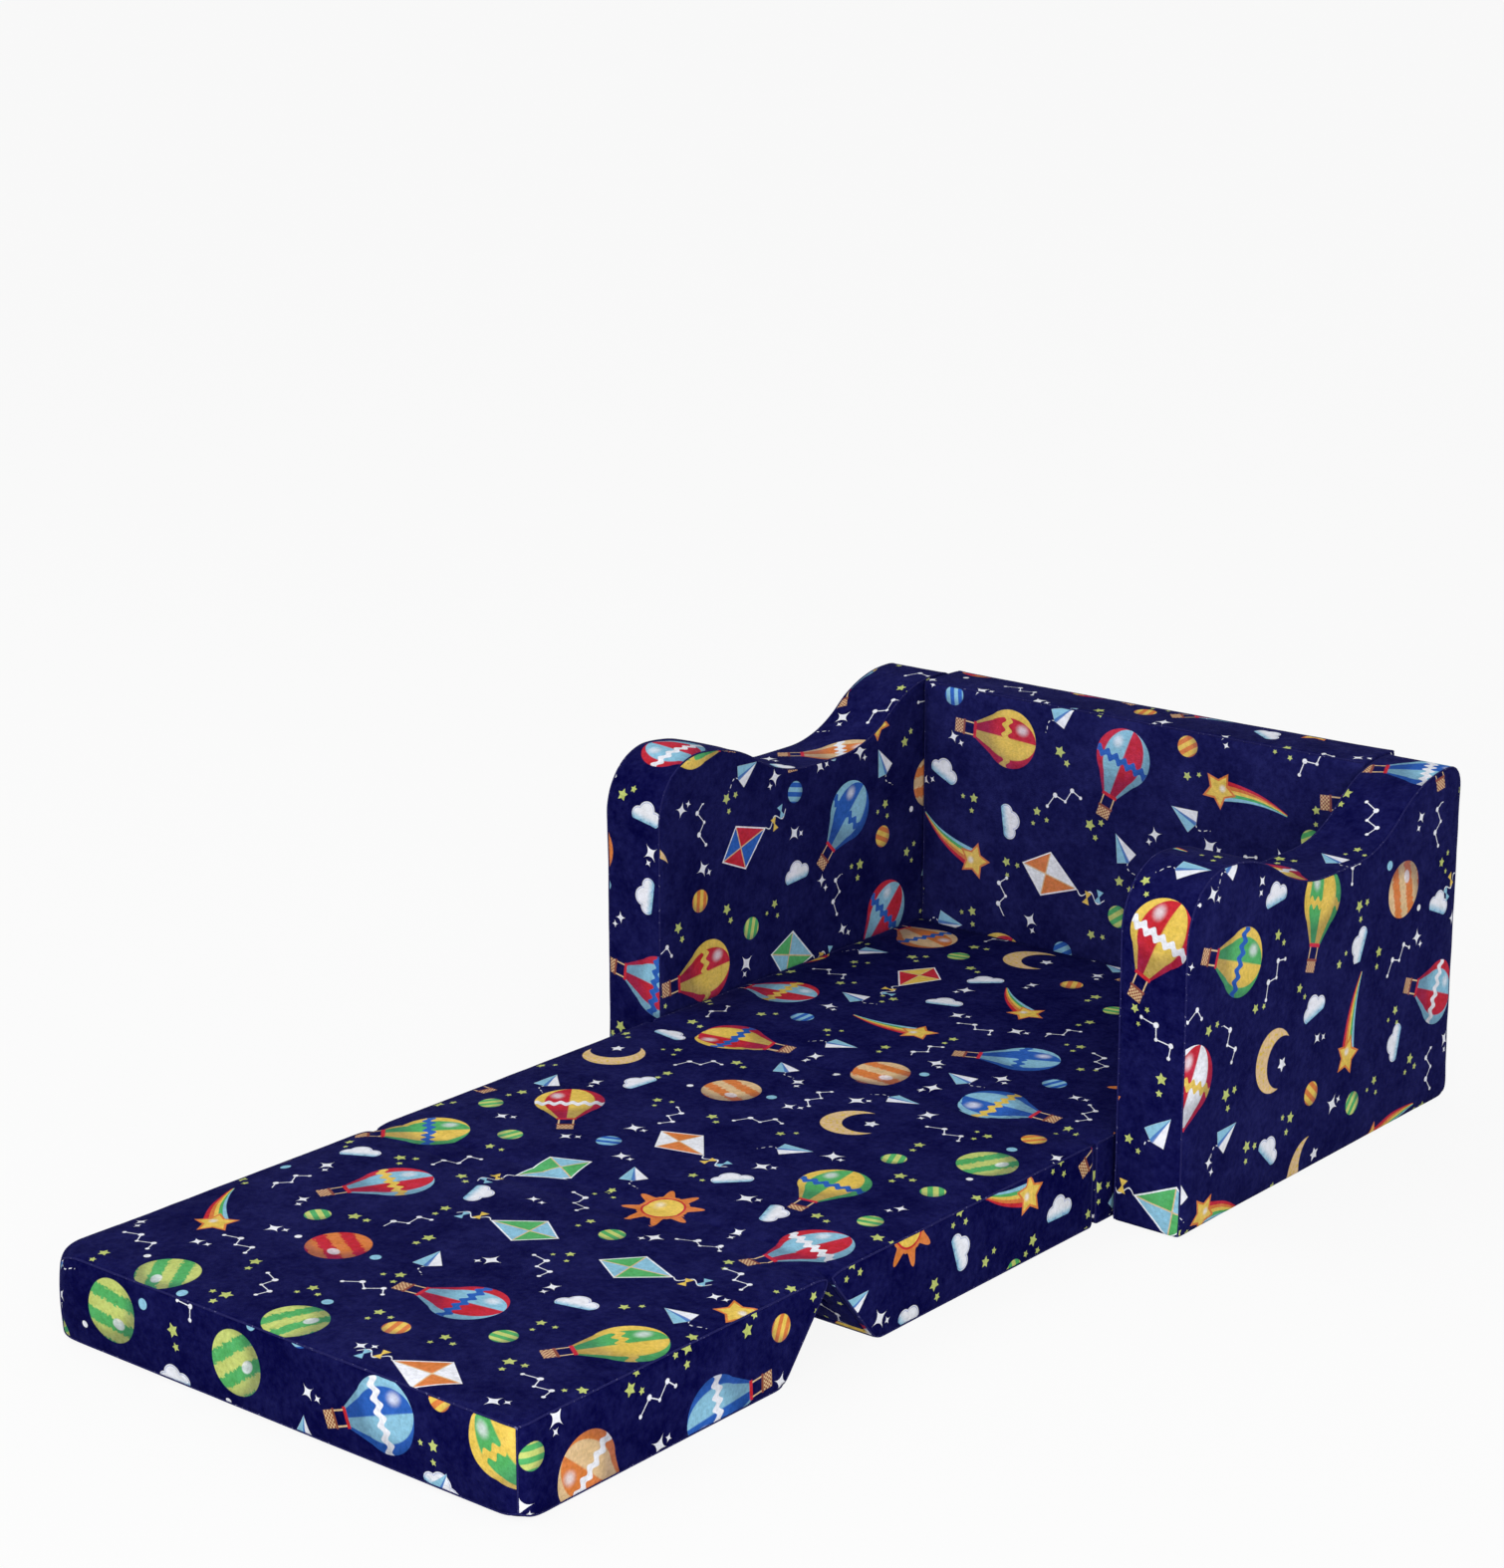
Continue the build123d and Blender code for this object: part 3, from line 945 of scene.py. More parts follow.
def draw_balloon(s, colours, x, y, site, paint):
    """Parts of a striped hot-air balloon, from the back layer to the front."""
    wide = abs(x)
    c = colours
    crown = (720 - (y - 12) * (y - 12)).math("MAXIMUM", 0).math("SQRT")
    girth = crown.math("MAXIMUM", (7 + 0.62 * (y + 26)) * (y < 0))
    envelope = s.inside(wide - girth + 0.4) * s.inside(-26 - y)
    gore = ((x / (girth + 0.01)).math("ARCSINE") * 4).math("SINE")
    one = picked(s, site.two, (c.red, c.blue, c.green, c.orange, c.sky, c.red))
    other = picked(s, site.two, (c.white, c.sky, c.yellow, c.sand, c.red, c.yellow))
    striped = s.mix(one, other, s.inside(-gore, 0.15))
    belt = s.inside(abs(y - 8 - 2 * (x * 0.7).math("SINE")) - 3.4)
    belt_colour = picked(s, site.three, (c.yellow, c.white, c.blue))
    shade = s.inside(27 - s.length(x + 8, y - 20), 8)
    glint = s.inside(s.length(x + 10, (y - 24) * 0.8) - 4, 3)
    ropes = s.inside(abs(wide - 5.4) - 0.6, 0.3) * s.inside(-37 - y) * s.inside(y + 26)
    basket = s.inside(wide - 6.2) * s.inside(abs(y + 41) - 5)
    cane = s.mix(c.brown, c.sand, s.inside((x * 2).math("SINE") * (y * 2).math("SINE"), 0.5))
    return [
        (c.sand, ropes),
        (cane, basket),
        (c.brown, s.inside(wide - 7) * s.inside(abs(y + 36.5) - 1)),
        (striped, envelope),
        (belt_colour, envelope * belt),
        (c.ground, envelope * shade * 0.42),
        (c.white, envelope * glint * 0.7),
        (c.red, s.inside(wide - 7.4) * s.inside(abs(y + 25) - 1.5)),
    ]


def draw_kite(s, colours, x, y, site, paint):
    """Parts of a quartered kite with bows on its tail."""
    c = colours
    up = y - 12
    half = 21 * (1 - (up / 25).math("MAXIMUM", up / -34))
    sail = s.inside(abs(x) - half)
    one = picked(s, site.two, (c.red, c.green, c.blue, c.orange))
    other = picked(s, site.two, (c.yellow, c.sky, c.red, c.white))
    quarters = s.mix(one, other, s.inside(x * up, 1.5))
    spars = s.inside(abs(x) - 0.55).math("MAXIMUM", s.inside(abs(up) - 0.55))
    sway = 3.5 * ((y + 22) * 0.36).math("SINE")
    string = s.inside(abs(x - sway) - 0.6, 0.3) * s.inside(y + 22) * s.inside(-50 - y)
    parts = [(c.white, string), (quarters, sail), (c.sand, sail * spars)]
    parts.append((c.white, sail * s.inside(half - abs(x) - 1.4)))
    for bow_x, bow_y, tone in ((-2.9, -33.0, c.yellow), (3.0, -44.0, c.sky)):
        reach, rise = abs(x - bow_x), abs(y - bow_y)
        bow = s.inside(reach - 5.5) * s.inside(rise - 0.5 - 0.55 * reach)
        parts.append((tone, bow))
    return parts


def draw_shooting_star(s, colours, x, y, site, paint):
    """Parts of a star with a ribbon tail in several colours."""
    c = colours
    run = (y + 24) / 70
    sway = x + 5 * (run * 3).math("SINE")
    half = 9.5 * (1 - run)
    ribbon = s.inside(abs(sway) - half) * s.inside(-24 - y) * s.inside(y - 40)
    tone = picked(s, sway / (half + 0.01) * 0.5 + 0.5, (c.red, c.orange, c.yellow, c.green, c.sky))
    return [
        (tone, ribbon),
        (c.orange, five_points(s, x, y + 26, 17)),
        (c.yellow, five_points(s, x, y + 26, 13.5)),
        (c.white, s.inside(s.length(x + 2, y + 23) - 2.5, 2) * 0.7),
    ]


def draw_planet(s, colours, x, y, site, paint):
    """Parts of a banded planet with two small moons."""
    c = colours
    far = s.length(x, y)
    disc = s.inside(far - 23)
    bands = (y * 0.34 + paint * 2.4 + x * 0.04).math("SINE")
    ground = picked(s, site.two, (c.orange, c.green, c.red))
    band = picked(s, site.two, (c.sand, c.leaf, c.orange))
    spot = s.inside(s.length((x - 8) * 0.7, y + 7) - 4, 0.6)
    return [
        (s.mix(ground, band, s.inside(-bands, 0.3)), disc),
        (c.white, disc * spot * 0.75),
        (c.ground, disc * s.inside(25 - s.length(x + 9, y - 9), 7) * 0.5),
        (c.sky, s.inside(s.length(x - 31, y - 14) - 4)),
        (c.white, s.inside(s.length(x + 28, y + 18) - 2.6)),
    ]


def draw_moon(s, colours, x, y, site, paint):
    """Parts of a crescent moon with a star beside it."""
    crescent = s.inside(s.length(x, y) - 25) * s.inside(20.5 - s.length(x - 11, y - 4))
    pits = s.inside(0.42 - paint, 0.03)
    return [
        (s.mix(colours.yellow, colours.sand, pits), crescent),
        (colours.white, five_points(s, x - 13, y - 3, 6)),
    ]


def draw_sun(s, colours, x, y, site, paint):
    """Parts of a sun with long and short rays."""
    far = s.length(x, y)
    turn = y.math("ARCTAN2", x)
    rays = 22 + 5.5 * (turn * 8).math("COSINE") + 2 * (turn * 16).math("COSINE")
    return [
        (colours.orange, s.inside(far - rays)),
        (colours.red, s.inside(far - 15.5)),
        (colours.yellow, s.inside(far - 13.8)),
        (colours.white, s.inside(s.length(x + 4, y - 5) - 3, 3) * 0.5),
    ]


def draw_chart(s, colours, x, y, site, paint):
    """White line drawing of stars joined into a figure."""
    stars = ((-17, -7, 1.5), (-8, 3, 2.2), (2, -2, 1.4), (10, 8, 2.0), (18, 2, 1.5))
    drawn = None
    for (ax, ay, size), (bx, by, _) in zip(stars, stars[1:]):
        stroke = s.stroke(x, y, (ax, ay), (bx, by), 0.4)
        dot = s.inside(s.length(x - ax, y - ay) - size)
        both = stroke.math("MAXIMUM", dot)
        drawn = both if drawn is None else drawn.math("MAXIMUM", both)
    last = s.inside(s.length(x - stars[-1][0], y - stars[-1][1]) - stars[-1][2])
    return [(colours.white, drawn.math("MAXIMUM", last))]


def draw_cloud(s, colours, x, y, site, paint):
    """Parts of a puffy cloud with a flat foot."""
    shape = None
    for cx, cy, size in ((-9, -1, 6.5), (-1, 3.5, 8.5), (9, 0, 6.5), (0, -3, 6)):
        puff = s.length(x - cx, y - cy) - size
        shape = puff if shape is None else shape.math("MINIMUM", puff)
    cloud = s.inside(shape) * s.inside(-6 - y)
    return [
        (s.mix(colours.white, colours.sky, s.inside(y + 1 + paint * 3, 4)), cloud),
        (colours.blue, cloud * s.inside(abs(shape + 1.1) - 0.35, 0.3) * 0.5),
    ]


def draw_paper_plane(s, colours, x, y, site, paint):
    """Parts of a folded paper plane with a dashed trail."""
    wide = abs(x)
    wings = s.inside(wide - (14 - y) * 0.46) * s.inside(-9 - y - 0.35 * (11 - wide))
    trail = s.inside(abs(x - 3 * ((y + 12) * 0.3).math("SINE")) - 0.45, 0.3)
    dashes = trail * s.inside(y + 13) * s.inside(-27 - y) * s.inside(-(y * 1.3).math("SINE"), 0.2)
    return [
        (colours.white, wings.math("MAXIMUM", dashes)),
        (colours.sky, wings * s.inside(x - 0.6)),
        (colours.blue, wings * s.inside(wide - (14 - y) * 0.07) * 0.8),
    ]


def draw_ball(s, colours, x, y, site, paint):
    """Parts of a small ball with slanting stripes."""
    far = s.length(x, y)
    ball = s.inside(far - 9.5)
    slant = ((y * 0.9 + x * 0.5) * 0.75).math("SINE")
    one = picked(s, site.two, (colours.green, colours.blue, colours.orange))
    other = picked(s, site.two, (colours.leaf, colours.sky, colours.yellow))
    return [
        (s.mix(one, other, s.inside(-slant, 0.2)), ball),
        (colours.ground, ball * s.inside(11 - s.length(x + 4, y - 4), 3.5) * 0.4),
    ]


@kept("seam_thread")
def seam_thread(s):
    """Navy ridge of a seam, painted lighter than the plush as a highlight, with a pale stitch here
    and there.
    """
    place = s.place()
    fleck = s.inside(0.70 - s.noise(place, 520, 1), 0.05)
    # painted highlight: the ridge's navy is lighter than the plush, with pale stitches mixed in
    colour = s.mix((0.012, 0.012, 0.085), (0.20, 0.20, 0.36), fleck * 0.6)
    return s.finish(
        colour, 0.9, s.noise(place, 900, 2), 0.0005, **{"Specular IOR Level": 0.08}
    )


@kept("cream_foam")
def foam_stuff(s):
    """Open-celled cream foam."""
    place = s.place()
    cell = s.wire("ShaderNodeTexVoronoi", None, {"Vector": place, "Scale": 700})
    tone = s.noise(place, 14, 3)
    colour = s.mix((0.80, 0.77, 0.66), (0.66, 0.61, 0.47), tone * 0.6 + cell * 0.5)
    return s.finish(colour, 0.95, cell, 0.0008)


@kept("grip_cloth")
def base_cloth_stuff(s):
    """Black non-woven cloth with a grid of raised grip dots."""
    place = s.place()
    pitch = 9.0
    ways = [way * 1000 / pitch for way in s.split(place)[:2]]
    x, y = (way - way.math("ROUND") for way in ways)
    dot = s.inside(s.length(x, y) - 0.17, 0.03)
    fibre = s.noise(place, 1500, 3, 0.7)
    colour = s.mix((0.010, 0.010, 0.012), (0.035, 0.035, 0.040), fibre)
    colour = s.mix(colour, (0.016, 0.016, 0.018), dot)
    return s.finish(colour, 0.92 - 0.45 * dot, fibre * 0.3 + dot, 0.0006)


def woven(s, dark, light, bump, roughness):
    """A tight woven tape in two tones."""
    place = s.place()
    x, y, z = s.split(place)
    across = (x * (2 * pi / 0.0011)).math("SINE")
    up = ((z + y) * (2 * pi / 0.0009)).math("SINE")
    weave = across * up * 0.5 + 0.5
    worn = s.noise(place, 60, 3)
    colour = s.mix(s.mix(dark, light, weave * 0.6), light, worn * 0.3)
    return s.finish(colour, roughness - 0.08 * weave, weave, bump)


@kept("woven_zip_tape")
def zip_tape_stuff(s):
    """Navy woven zip tape."""
    return woven(s, (0.008, 0.008, 0.045), (0.022, 0.022, 0.095), 0.0003, 0.9)


@kept("woven_hook_tape")
def hook_tape_stuff(s):
    """Navy tape of stiff hooks."""
    return woven(s, (0.009, 0.009, 0.040), (0.030, 0.030, 0.100), 0.0007, 0.55)


@kept("woven_loop_tape")
def loop_tape_stuff(s):
    """Navy tape of soft loops."""
    return woven(s, (0.012, 0.011, 0.055), (0.035, 0.034, 0.130), 0.0006, 0.95)


@kept("zip_coil")
def zip_chain_stuff(s):
    """Navy nylon of the zip's coil."""
    worn = s.noise(s.place(), 400, 2)
    colour = s.mix((0.010, 0.010, 0.045), (0.035, 0.035, 0.110), worn)
    return s.finish(colour, 0.42 + 0.15 * worn, worn, 0.0001)


@kept("enamelled_metal")
def zip_metal_stuff(s):
    """Enamelled metal of the slider and stops, rubbed bare in patches."""
    place = s.place()
    worn = s.noise(place, 700, 3, 0.6)
    bare = s.inside(0.66 - worn, 0.05)
    colour = s.mix((0.014, 0.014, 0.055), (0.42, 0.43, 0.47), bare * 0.7)
    return s.finish(colour, 0.34 + 0.2 * worn, worn, 0.00008, Metallic=0.2)


# Pieces


def box_of(node):
    """Lowest and highest corner of a node, as arrays."""
    low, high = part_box(node)
    return np.array(low), np.array(high)


def sized_block(node, grid_maker, inset, grid, bottom_inset=0):
    """A block that fills a node's box, drawn in by an inset at its sides."""
    low, high = box_of(node)
    low = low + (inset, inset, bottom_inset)
    high = high - inset
    return SewnBlock(grid_maker(low[1:], high[1:], grid), low[0], high[0], grid)


def drop_rim(block):
    """Lowers the outer edge of a block's foot, which hides the grip cloth's edge."""
    along, up, across = block.cells
    places = block.places
    edge = (places[:, 0] % along == 0) | (places[:, 2] % across == 0)
    block.points[(places[:, 1] == 0) & edge, 2] -= RIM_DROP


def round_foot(block, radius, y_edge, way, lean=0.0):
    """Rounds the lower edge of an end face; way is 1 for a front face, and lean its slope."""
    points = block.points
    foot = points[:, 2].min()
    face_y = y_edge - way * (points[:, 2] - foot) * lean
    inward = way * (points[:, 1] - face_y)
    near = closeness(inward, radius)
    low = closeness(points[:, 2] - foot, radius)
    corner = (near > 0) & (low > 0)
    new_near, new_low = rounded(near, low)
    height = radius * (1 - new_low)
    across = y_edge - way * height * lean + way * radius * (1 - new_near)
    points[corner, 1] = across[corner]
    points[corner, 2] = foot + height[corner]


def reach_of(block, puff, tight, tight_sides, still_sides=()):
    """How far each point of a block may move: less on tight sides, hardly at all on still ones."""
    reach = np.full(len(block.points), puff)
    for side in tight_sides:
        reach[block.on(side)] = tight
    for side in still_sides:
        reach[block.on(side)] = tight / 8
    return reach


def make_foam(name, block, body, node, inset):
    """A plain foam block that lies inside a cover."""
    piece = block.mesh(name, set(), wrapped_map((0, 0)))
    only(piece)
    bpy.ops.object.mode_set(mode="EDIT")
    bpy.ops.mesh.select_all(action="SELECT")
    bpy.ops.transform.shrink_fatten(value=-inset, use_even_offset=True)
    bpy.ops.object.mode_set(mode="OBJECT")
    apply_modifier(piece, "BEVEL", width=FOAM_ROUND, segments=2, limit_method="ANGLE")
    piece.data.materials.append(foam_stuff())
    smooth(piece)
    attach(piece, body)
    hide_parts(node)


class SOFA_OT_arms(bpy.types.Operator):
    """Model both arms: wavy foam boards in sewn plush covers"""

    bl_idname = "sofa.arms"
    bl_label = "Arms"

    # Side of the sofa, side that faces the seat, and shift of the print
    SIDES = (("left", "right", (0.11, 0.52)), ("right", "left", (0.83, 0.19)))

    def execute(self, context):
        scene = context.scene
        cloth = scene.sofa_cloth
        seams = seams_between(
            "left front", "left top", "left rear", "right front", "right top", "right rear"
        )

        def grid_maker(low, high, grid):
            return arm_grid(scene.sofa_arm, low, high, grid)

        for side, inner, shift in self.SIDES:
            node = f"{side}_arm_cover"
            block = sized_block(node, grid_maker, cloth.side_inset, cloth.grid)
            round_foot(block, scene.sofa_arm.foot_round, block.points[:, 1].max(), -1)
            drop_rim(block)
            # painted light on the inner side, the outer side and the top of the arm
            lay = {inner: 0.030, side: 0.020, "top": 0.012}
            piece = block.mesh(f"{side}_arm_plush", seams, wrapped_map(shift), lay)
            reach = reach_of(block, cloth.puff, cloth.tight_puff, (inner,), ("bottom",))
            settle(piece, cloth, reach, block.points[:, 2].min())
            finish_cover(piece, cloth, "frame", node)
            coarse = sized_block(node, grid_maker, cloth.side_inset, cloth.foam_grid)
            foam = f"{side}_arm_foam"
            make_foam(f"{side}_arm_board", coarse, "frame", foam, cloth.foam_inset)
        return {"FINISHED"}


class SOFA_OT_back(bpy.types.Operator):
    """Model the back: a foam board in a sewn plush cover with a zip slot low on its rear"""

    bl_idname = "sofa.back"
    bl_label = "Back"

    # Rows of cells beside the zip, and how far from it the first of them are drawn
    NEAR_ROWS = (0, 0.7, 1.4, 2.5)
    SLOT_ROWS = (4.8 * MM, 6.6 * MM)
    SLOT_DEPTH = 2.4 * MM
    SLOT_HALF = 5.5 * MM
    SLOT_PLAY = 2 * MM

    def execute(self, context):
        cloth = context.scene.sofa_cloth

        def grid_maker(low, high, grid):
            along = cells(high[0] - low[0], grid) + 1
            up = cells(high[1] - low[1], grid) + 1
            return filled(
                np.linspace(low, (high[0], low[1]), along),
                np.linspace((high[0], low[1]), high, up),
                np.linspace((low[0], high[1]), high, along),
                np.linspace(low, (low[0], high[1]), up),
            )

        block = sized_block("back_cover", grid_maker, cloth.side_inset, cloth.grid)
        zip_low, zip_high = box_of("frame_zip_tape")
        height = (zip_low[2] + zip_high[2]) / 2
        rise = block.points[:, 2] - height
        last = self.NEAR_ROWS[-1] * cloth.grid
        near = block.on("rear") & (np.abs(rise) < last)
        rows = np.abs(rise[near]) / cloth.grid
        moved = np.interp(rows, self.NEAR_ROWS, (0, *self.SLOT_ROWS, last))
        rise[near] = moved * np.sign(rise[near])
        block.points[near, 2] = height + rise[near]
        slot = near & (np.abs(rise) < self.SLOT_HALF)
        slot &= np.abs(block.points[:, 0]) < zip_high[0] + self.SLOT_PLAY
        block.points[slot, 1] -= self.SLOT_DEPTH
        drop_rim(block)
        seams = seams_between("front top", "rear top", "left front", "right front")
        # painted light on the front and the top of the back
        lay = {"front": 0.055, "top": 0.012}
        piece = block.mesh("back_plush", seams, wrapped_map((0.31, 0.07)), lay)
        reach = reach_of(block, cloth.puff, cloth.tight_puff, ("left", "right"), ("bottom",))
        near_zip = block.on("rear") & (np.abs(block.points[:, 2] - height) < 3 * cloth.grid)
        reach[near_zip] = cloth.tight_puff / 4
        settle(piece, cloth, reach, block.points[:, 2].min())
        finish_cover(piece, cloth, "frame", "back_cover")
        coarse = sized_block("back_cover", grid_maker, cloth.side_inset, cloth.foam_grid)
        make_foam("back_board", coarse, "frame", "back_foam", cloth.foam_inset)
        return {"FINISHED"}


class SOFA_OT_pads(bpy.types.Operator):
    """Model the three bed pads: the base, the seat and the backrest, with their mitred ends"""

    bl_idname = "sofa.pads"
    bl_label = "Bed pads"

    # Name, body, whether the front and the rear are mitred, shift of the print, and the side that
    # faces forwards when the sofa is folded
    PADS = (
        ("base_panel", "frame", False, False, (0.13, 0.21), "front"),
        ("seat_panel", "seat_panel", True, False, (0.57, 0.33), "rear"),
        ("backrest_panel", "backrest_panel", False, True, (0.71, 0.49), None),
    )
    RIM_PLAY = 0.9 * MM
    RIM_STEP = 1.6 * MM

    def execute(self, context):
        scene = context.scene
        cloth, pad = scene.sofa_cloth, scene.sofa_pad
        seams = seams_between(
            "left top", "right top", "left bottom", "right bottom", "left front", "right front",
            "left rear", "right rear",
        )
        for name, body, mitre_front, mitre_rear, shift, front_side in self.PADS:

            def grid_maker(low, high, grid):
                return pad_grid(pad, low, high, mitre_front, mitre_rear, grid)

            node = f"{name}_cover"
            low, high = box_of(node)
            inset = cloth.side_inset
            low = low + (inset, 0 if mitre_front else inset / 2, 0)
            high = high - (inset, 0 if mitre_rear else inset / 2, 2 * inset)
            block, coarse = (
                SewnBlock(grid_maker(low[1:], high[1:], grid), low[0], high[0], grid)
                for grid in (cloth.grid, cloth.foam_grid)
            )
            sewn = set(seams)
            still = ["bottom"]
            # painted shade on the pads' sides, and on the backrest's front end
            lay = {"left": -0.015, "right": -0.015}
            if name == "backrest_panel":
                lay["front"] = -0.020
                sink_corners(block, pad, low[1])
                sink_corners(coarse, pad, low[1])
                round_foot(block, pad.foot_round, low[1], 1)
                sewn |= seams_between("front top", "front bottom")
            if name == "base_panel":
                drop_rim(block)
            for side, mitred in (("front", mitre_front), ("rear", mitre_rear)):
                if mitred:
                    still.append(side)
                    sewn |= seams_between(f"{side} bottom")
                    self.recess(block, side, pad)
                    way = 1 if side == "front" else -1
                    foot_y = (low if way > 0 else high)[1] + way * BACK_HINGE.z * tan(pad.mitre)
                    round_foot(block, pad.mitre_round, foot_y, way, tan(pad.mitre))
            piece = block.mesh(f"{name}_plush", sewn, pad_map(shift, front_side), lay)
            tight = ["left", "right", *(s for s in ("front", "rear") if name != "backrest_panel")]
            reach = reach_of(block, cloth.puff, cloth.tight_puff, tight, still)
            settle(piece, cloth, reach, low[2])
            finish_cover(piece, cloth, body, node)
            make_foam(f"{name}_block", coarse, body, f"{name}_foam", cloth.foam_inset)
        return {"FINISHED"}

    @staticmethod
    def recess(block, side, pad):
        """Sinks the middle of a mitred end face behind a narrow rim, to take the zip band."""
        way = 1 if side == "front" else -1
        on = block.on(side)
        places = block.places
        _, up, across = block.cells
        slope = BACK_HINGE.z / cos(pad.mitre)
        half = np.abs(block.points[:, 0]).max()
        edge_y = block.points[on, 1].min() if way > 0 else block.points[on, 1].max()

        def drawn_out(place, count, length, past):
            """Places along a length, with the first two cells at each end drawn out to a rim."""
            cell = length / count
            rim = pad.band_margin - SOFA_OT_pads.RIM_PLAY
            known = [0, cell, 2 * cell, 5 * cell]
            known += [length - far for far in known[::-1]]
            low = [0, rim, rim + SOFA_OT_pads.RIM_STEP, 5 * cell]
            high = [length - far - past for far in low[2:0:-1]]
            return np.interp(place * cell, known, [*low, known[4], *high, length])

        block.points[on, 0] = (drawn_out(places[:, 2], across, 2 * half, 0) - half)[on]
        run = drawn_out(places[:, 1], up, slope + pad.fold_lift, pad.fold_lift)
        rise = np.minimum(run, slope) / slope * BACK_HINGE.z
        block.points[on, 2] = (rise + np.maximum(run - slope, 0))[on]
        block.points[on, 1] = (edge_y + way * (BACK_HINGE.z - rise) * tan(pad.mitre))[on]
        sunk = on & (places[:, 1] > 1) & (places[:, 1] < up - 1)
        sunk &= (places[:, 2] > 1) & (places[:, 2] < across - 1)
        block.points[sunk, 1] += way * pad.band_recess * cos(pad.mitre)
        block.points[sunk, 2] += pad.band_recess * sin(pad.mitre)


def flat_grid(name, width, length, steps_x, steps_y):
    """A flat grid of faces about the origin."""
    bpy.ops.object.select_all(action="DESELECT")
    bpy.ops.mesh.primitive_grid_add(x_subdivisions=steps_x, y_subdivisions=steps_y, size=1)
    piece = bpy.context.object
    piece.name = piece.data.name = name
    bpy.ops.object.mode_set(mode="EDIT")
    bpy.ops.transform.resize(value=(width, length, 1))
    bpy.ops.object.mode_set(mode="OBJECT")
    return piece


def map_flat(piece, shift=(0, 0)):
    """Gives a piece a cloth map of its x and y as they are now."""
    while piece.data.uv_layers:
        piece.data.uv_layers.remove(piece.data.uv_layers[0])
    cloth_map = piece.data.uv_layers.new(name="cloth")
    for loop in piece.data.loops:
        x, y, _ = piece.data.vertices[loop.vertex_index].co
        cloth_map.uv[loop.index].vector = (x + shift[0], y + shift[1])


def pick_faces(piece, chosen):
    """Selects the faces whose centre and normal pass a test."""
    bpy.ops.object.mode_set(mode="OBJECT")
    for item in (*piece.data.vertices, *piece.data.edges):
        item.select = False
    for face in piece.data.polygons:
        face.select = bool(chosen(face.center, face.normal))
    bpy.ops.object.mode_set(mode="EDIT")
    bpy.ops.mesh.select_mode(type="FACE")


def leaning_plane(centre, lean, way):
    """Matrix that puts a flat piece on an end face that leans; way is 1 for a front face."""
    out = Vector((0, -way * cos(lean), -sin(lean)))
    up = Vector((0, -way * sin(lean), cos(lean)))
    across = up.cross(out)
    turn = Matrix((across, up, out)).transposed().to_4x4()
    return Matrix.Translation(centre) @ turn


class SOFA_OT_base_cloths(bpy.types.Operator):
    """Model the grip cloths under the arms, the back and the base pad, each with a turned hem"""

    bl_idname = "sofa.base_cloths"
    bl_label = "Base cloths"

    EDGE = 7.5 * MM  # rim of cover left free round the cloth
    HEM = 7 * MM
    HEM_SLOPE = 0.4 * MM
    HEM_DEPTH = 0.25 * MM
    PLAY = 0.05 * MM

    def execute(self, context):
        for part in ("left_arm", "right_arm", "back", "base_panel"):
            node = f"{part}_base_cloth"
            low, high = box_of(node)
            size = high - low - (2 * self.EDGE, 2 * self.EDGE, self.PLAY)
            bpy.ops.object.select_all(action="DESELECT")
            bpy.ops.mesh.primitive_cube_add(size=1, location=(low + high) / 2, scale=size)
            piece = bpy.context.object
            piece.name = piece.data.name = f"{part}_grip_cloth"
            bpy.ops.object.transform_apply(location=True, rotation=False, scale=True)
            pick_faces(piece, lambda centre, normal: normal.z < -0.9)
            bpy.ops.mesh.inset(thickness=self.HEM)
            bpy.ops.mesh.inset(thickness=self.HEM_SLOPE, depth=-self.HEM_DEPTH)
            bpy.ops.object.mode_set(mode="OBJECT")
            apply_modifier(piece, "BEVEL", width=0.2 * MM, segments=2, limit_method="ANGLE")
            piece.data.materials.append(base_cloth_stuff())
            only(piece)
            bpy.ops.object.shade_smooth_by_angle(angle=radians(40))
            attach(piece, "frame")
            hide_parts(node)
        return {"FINISHED"}


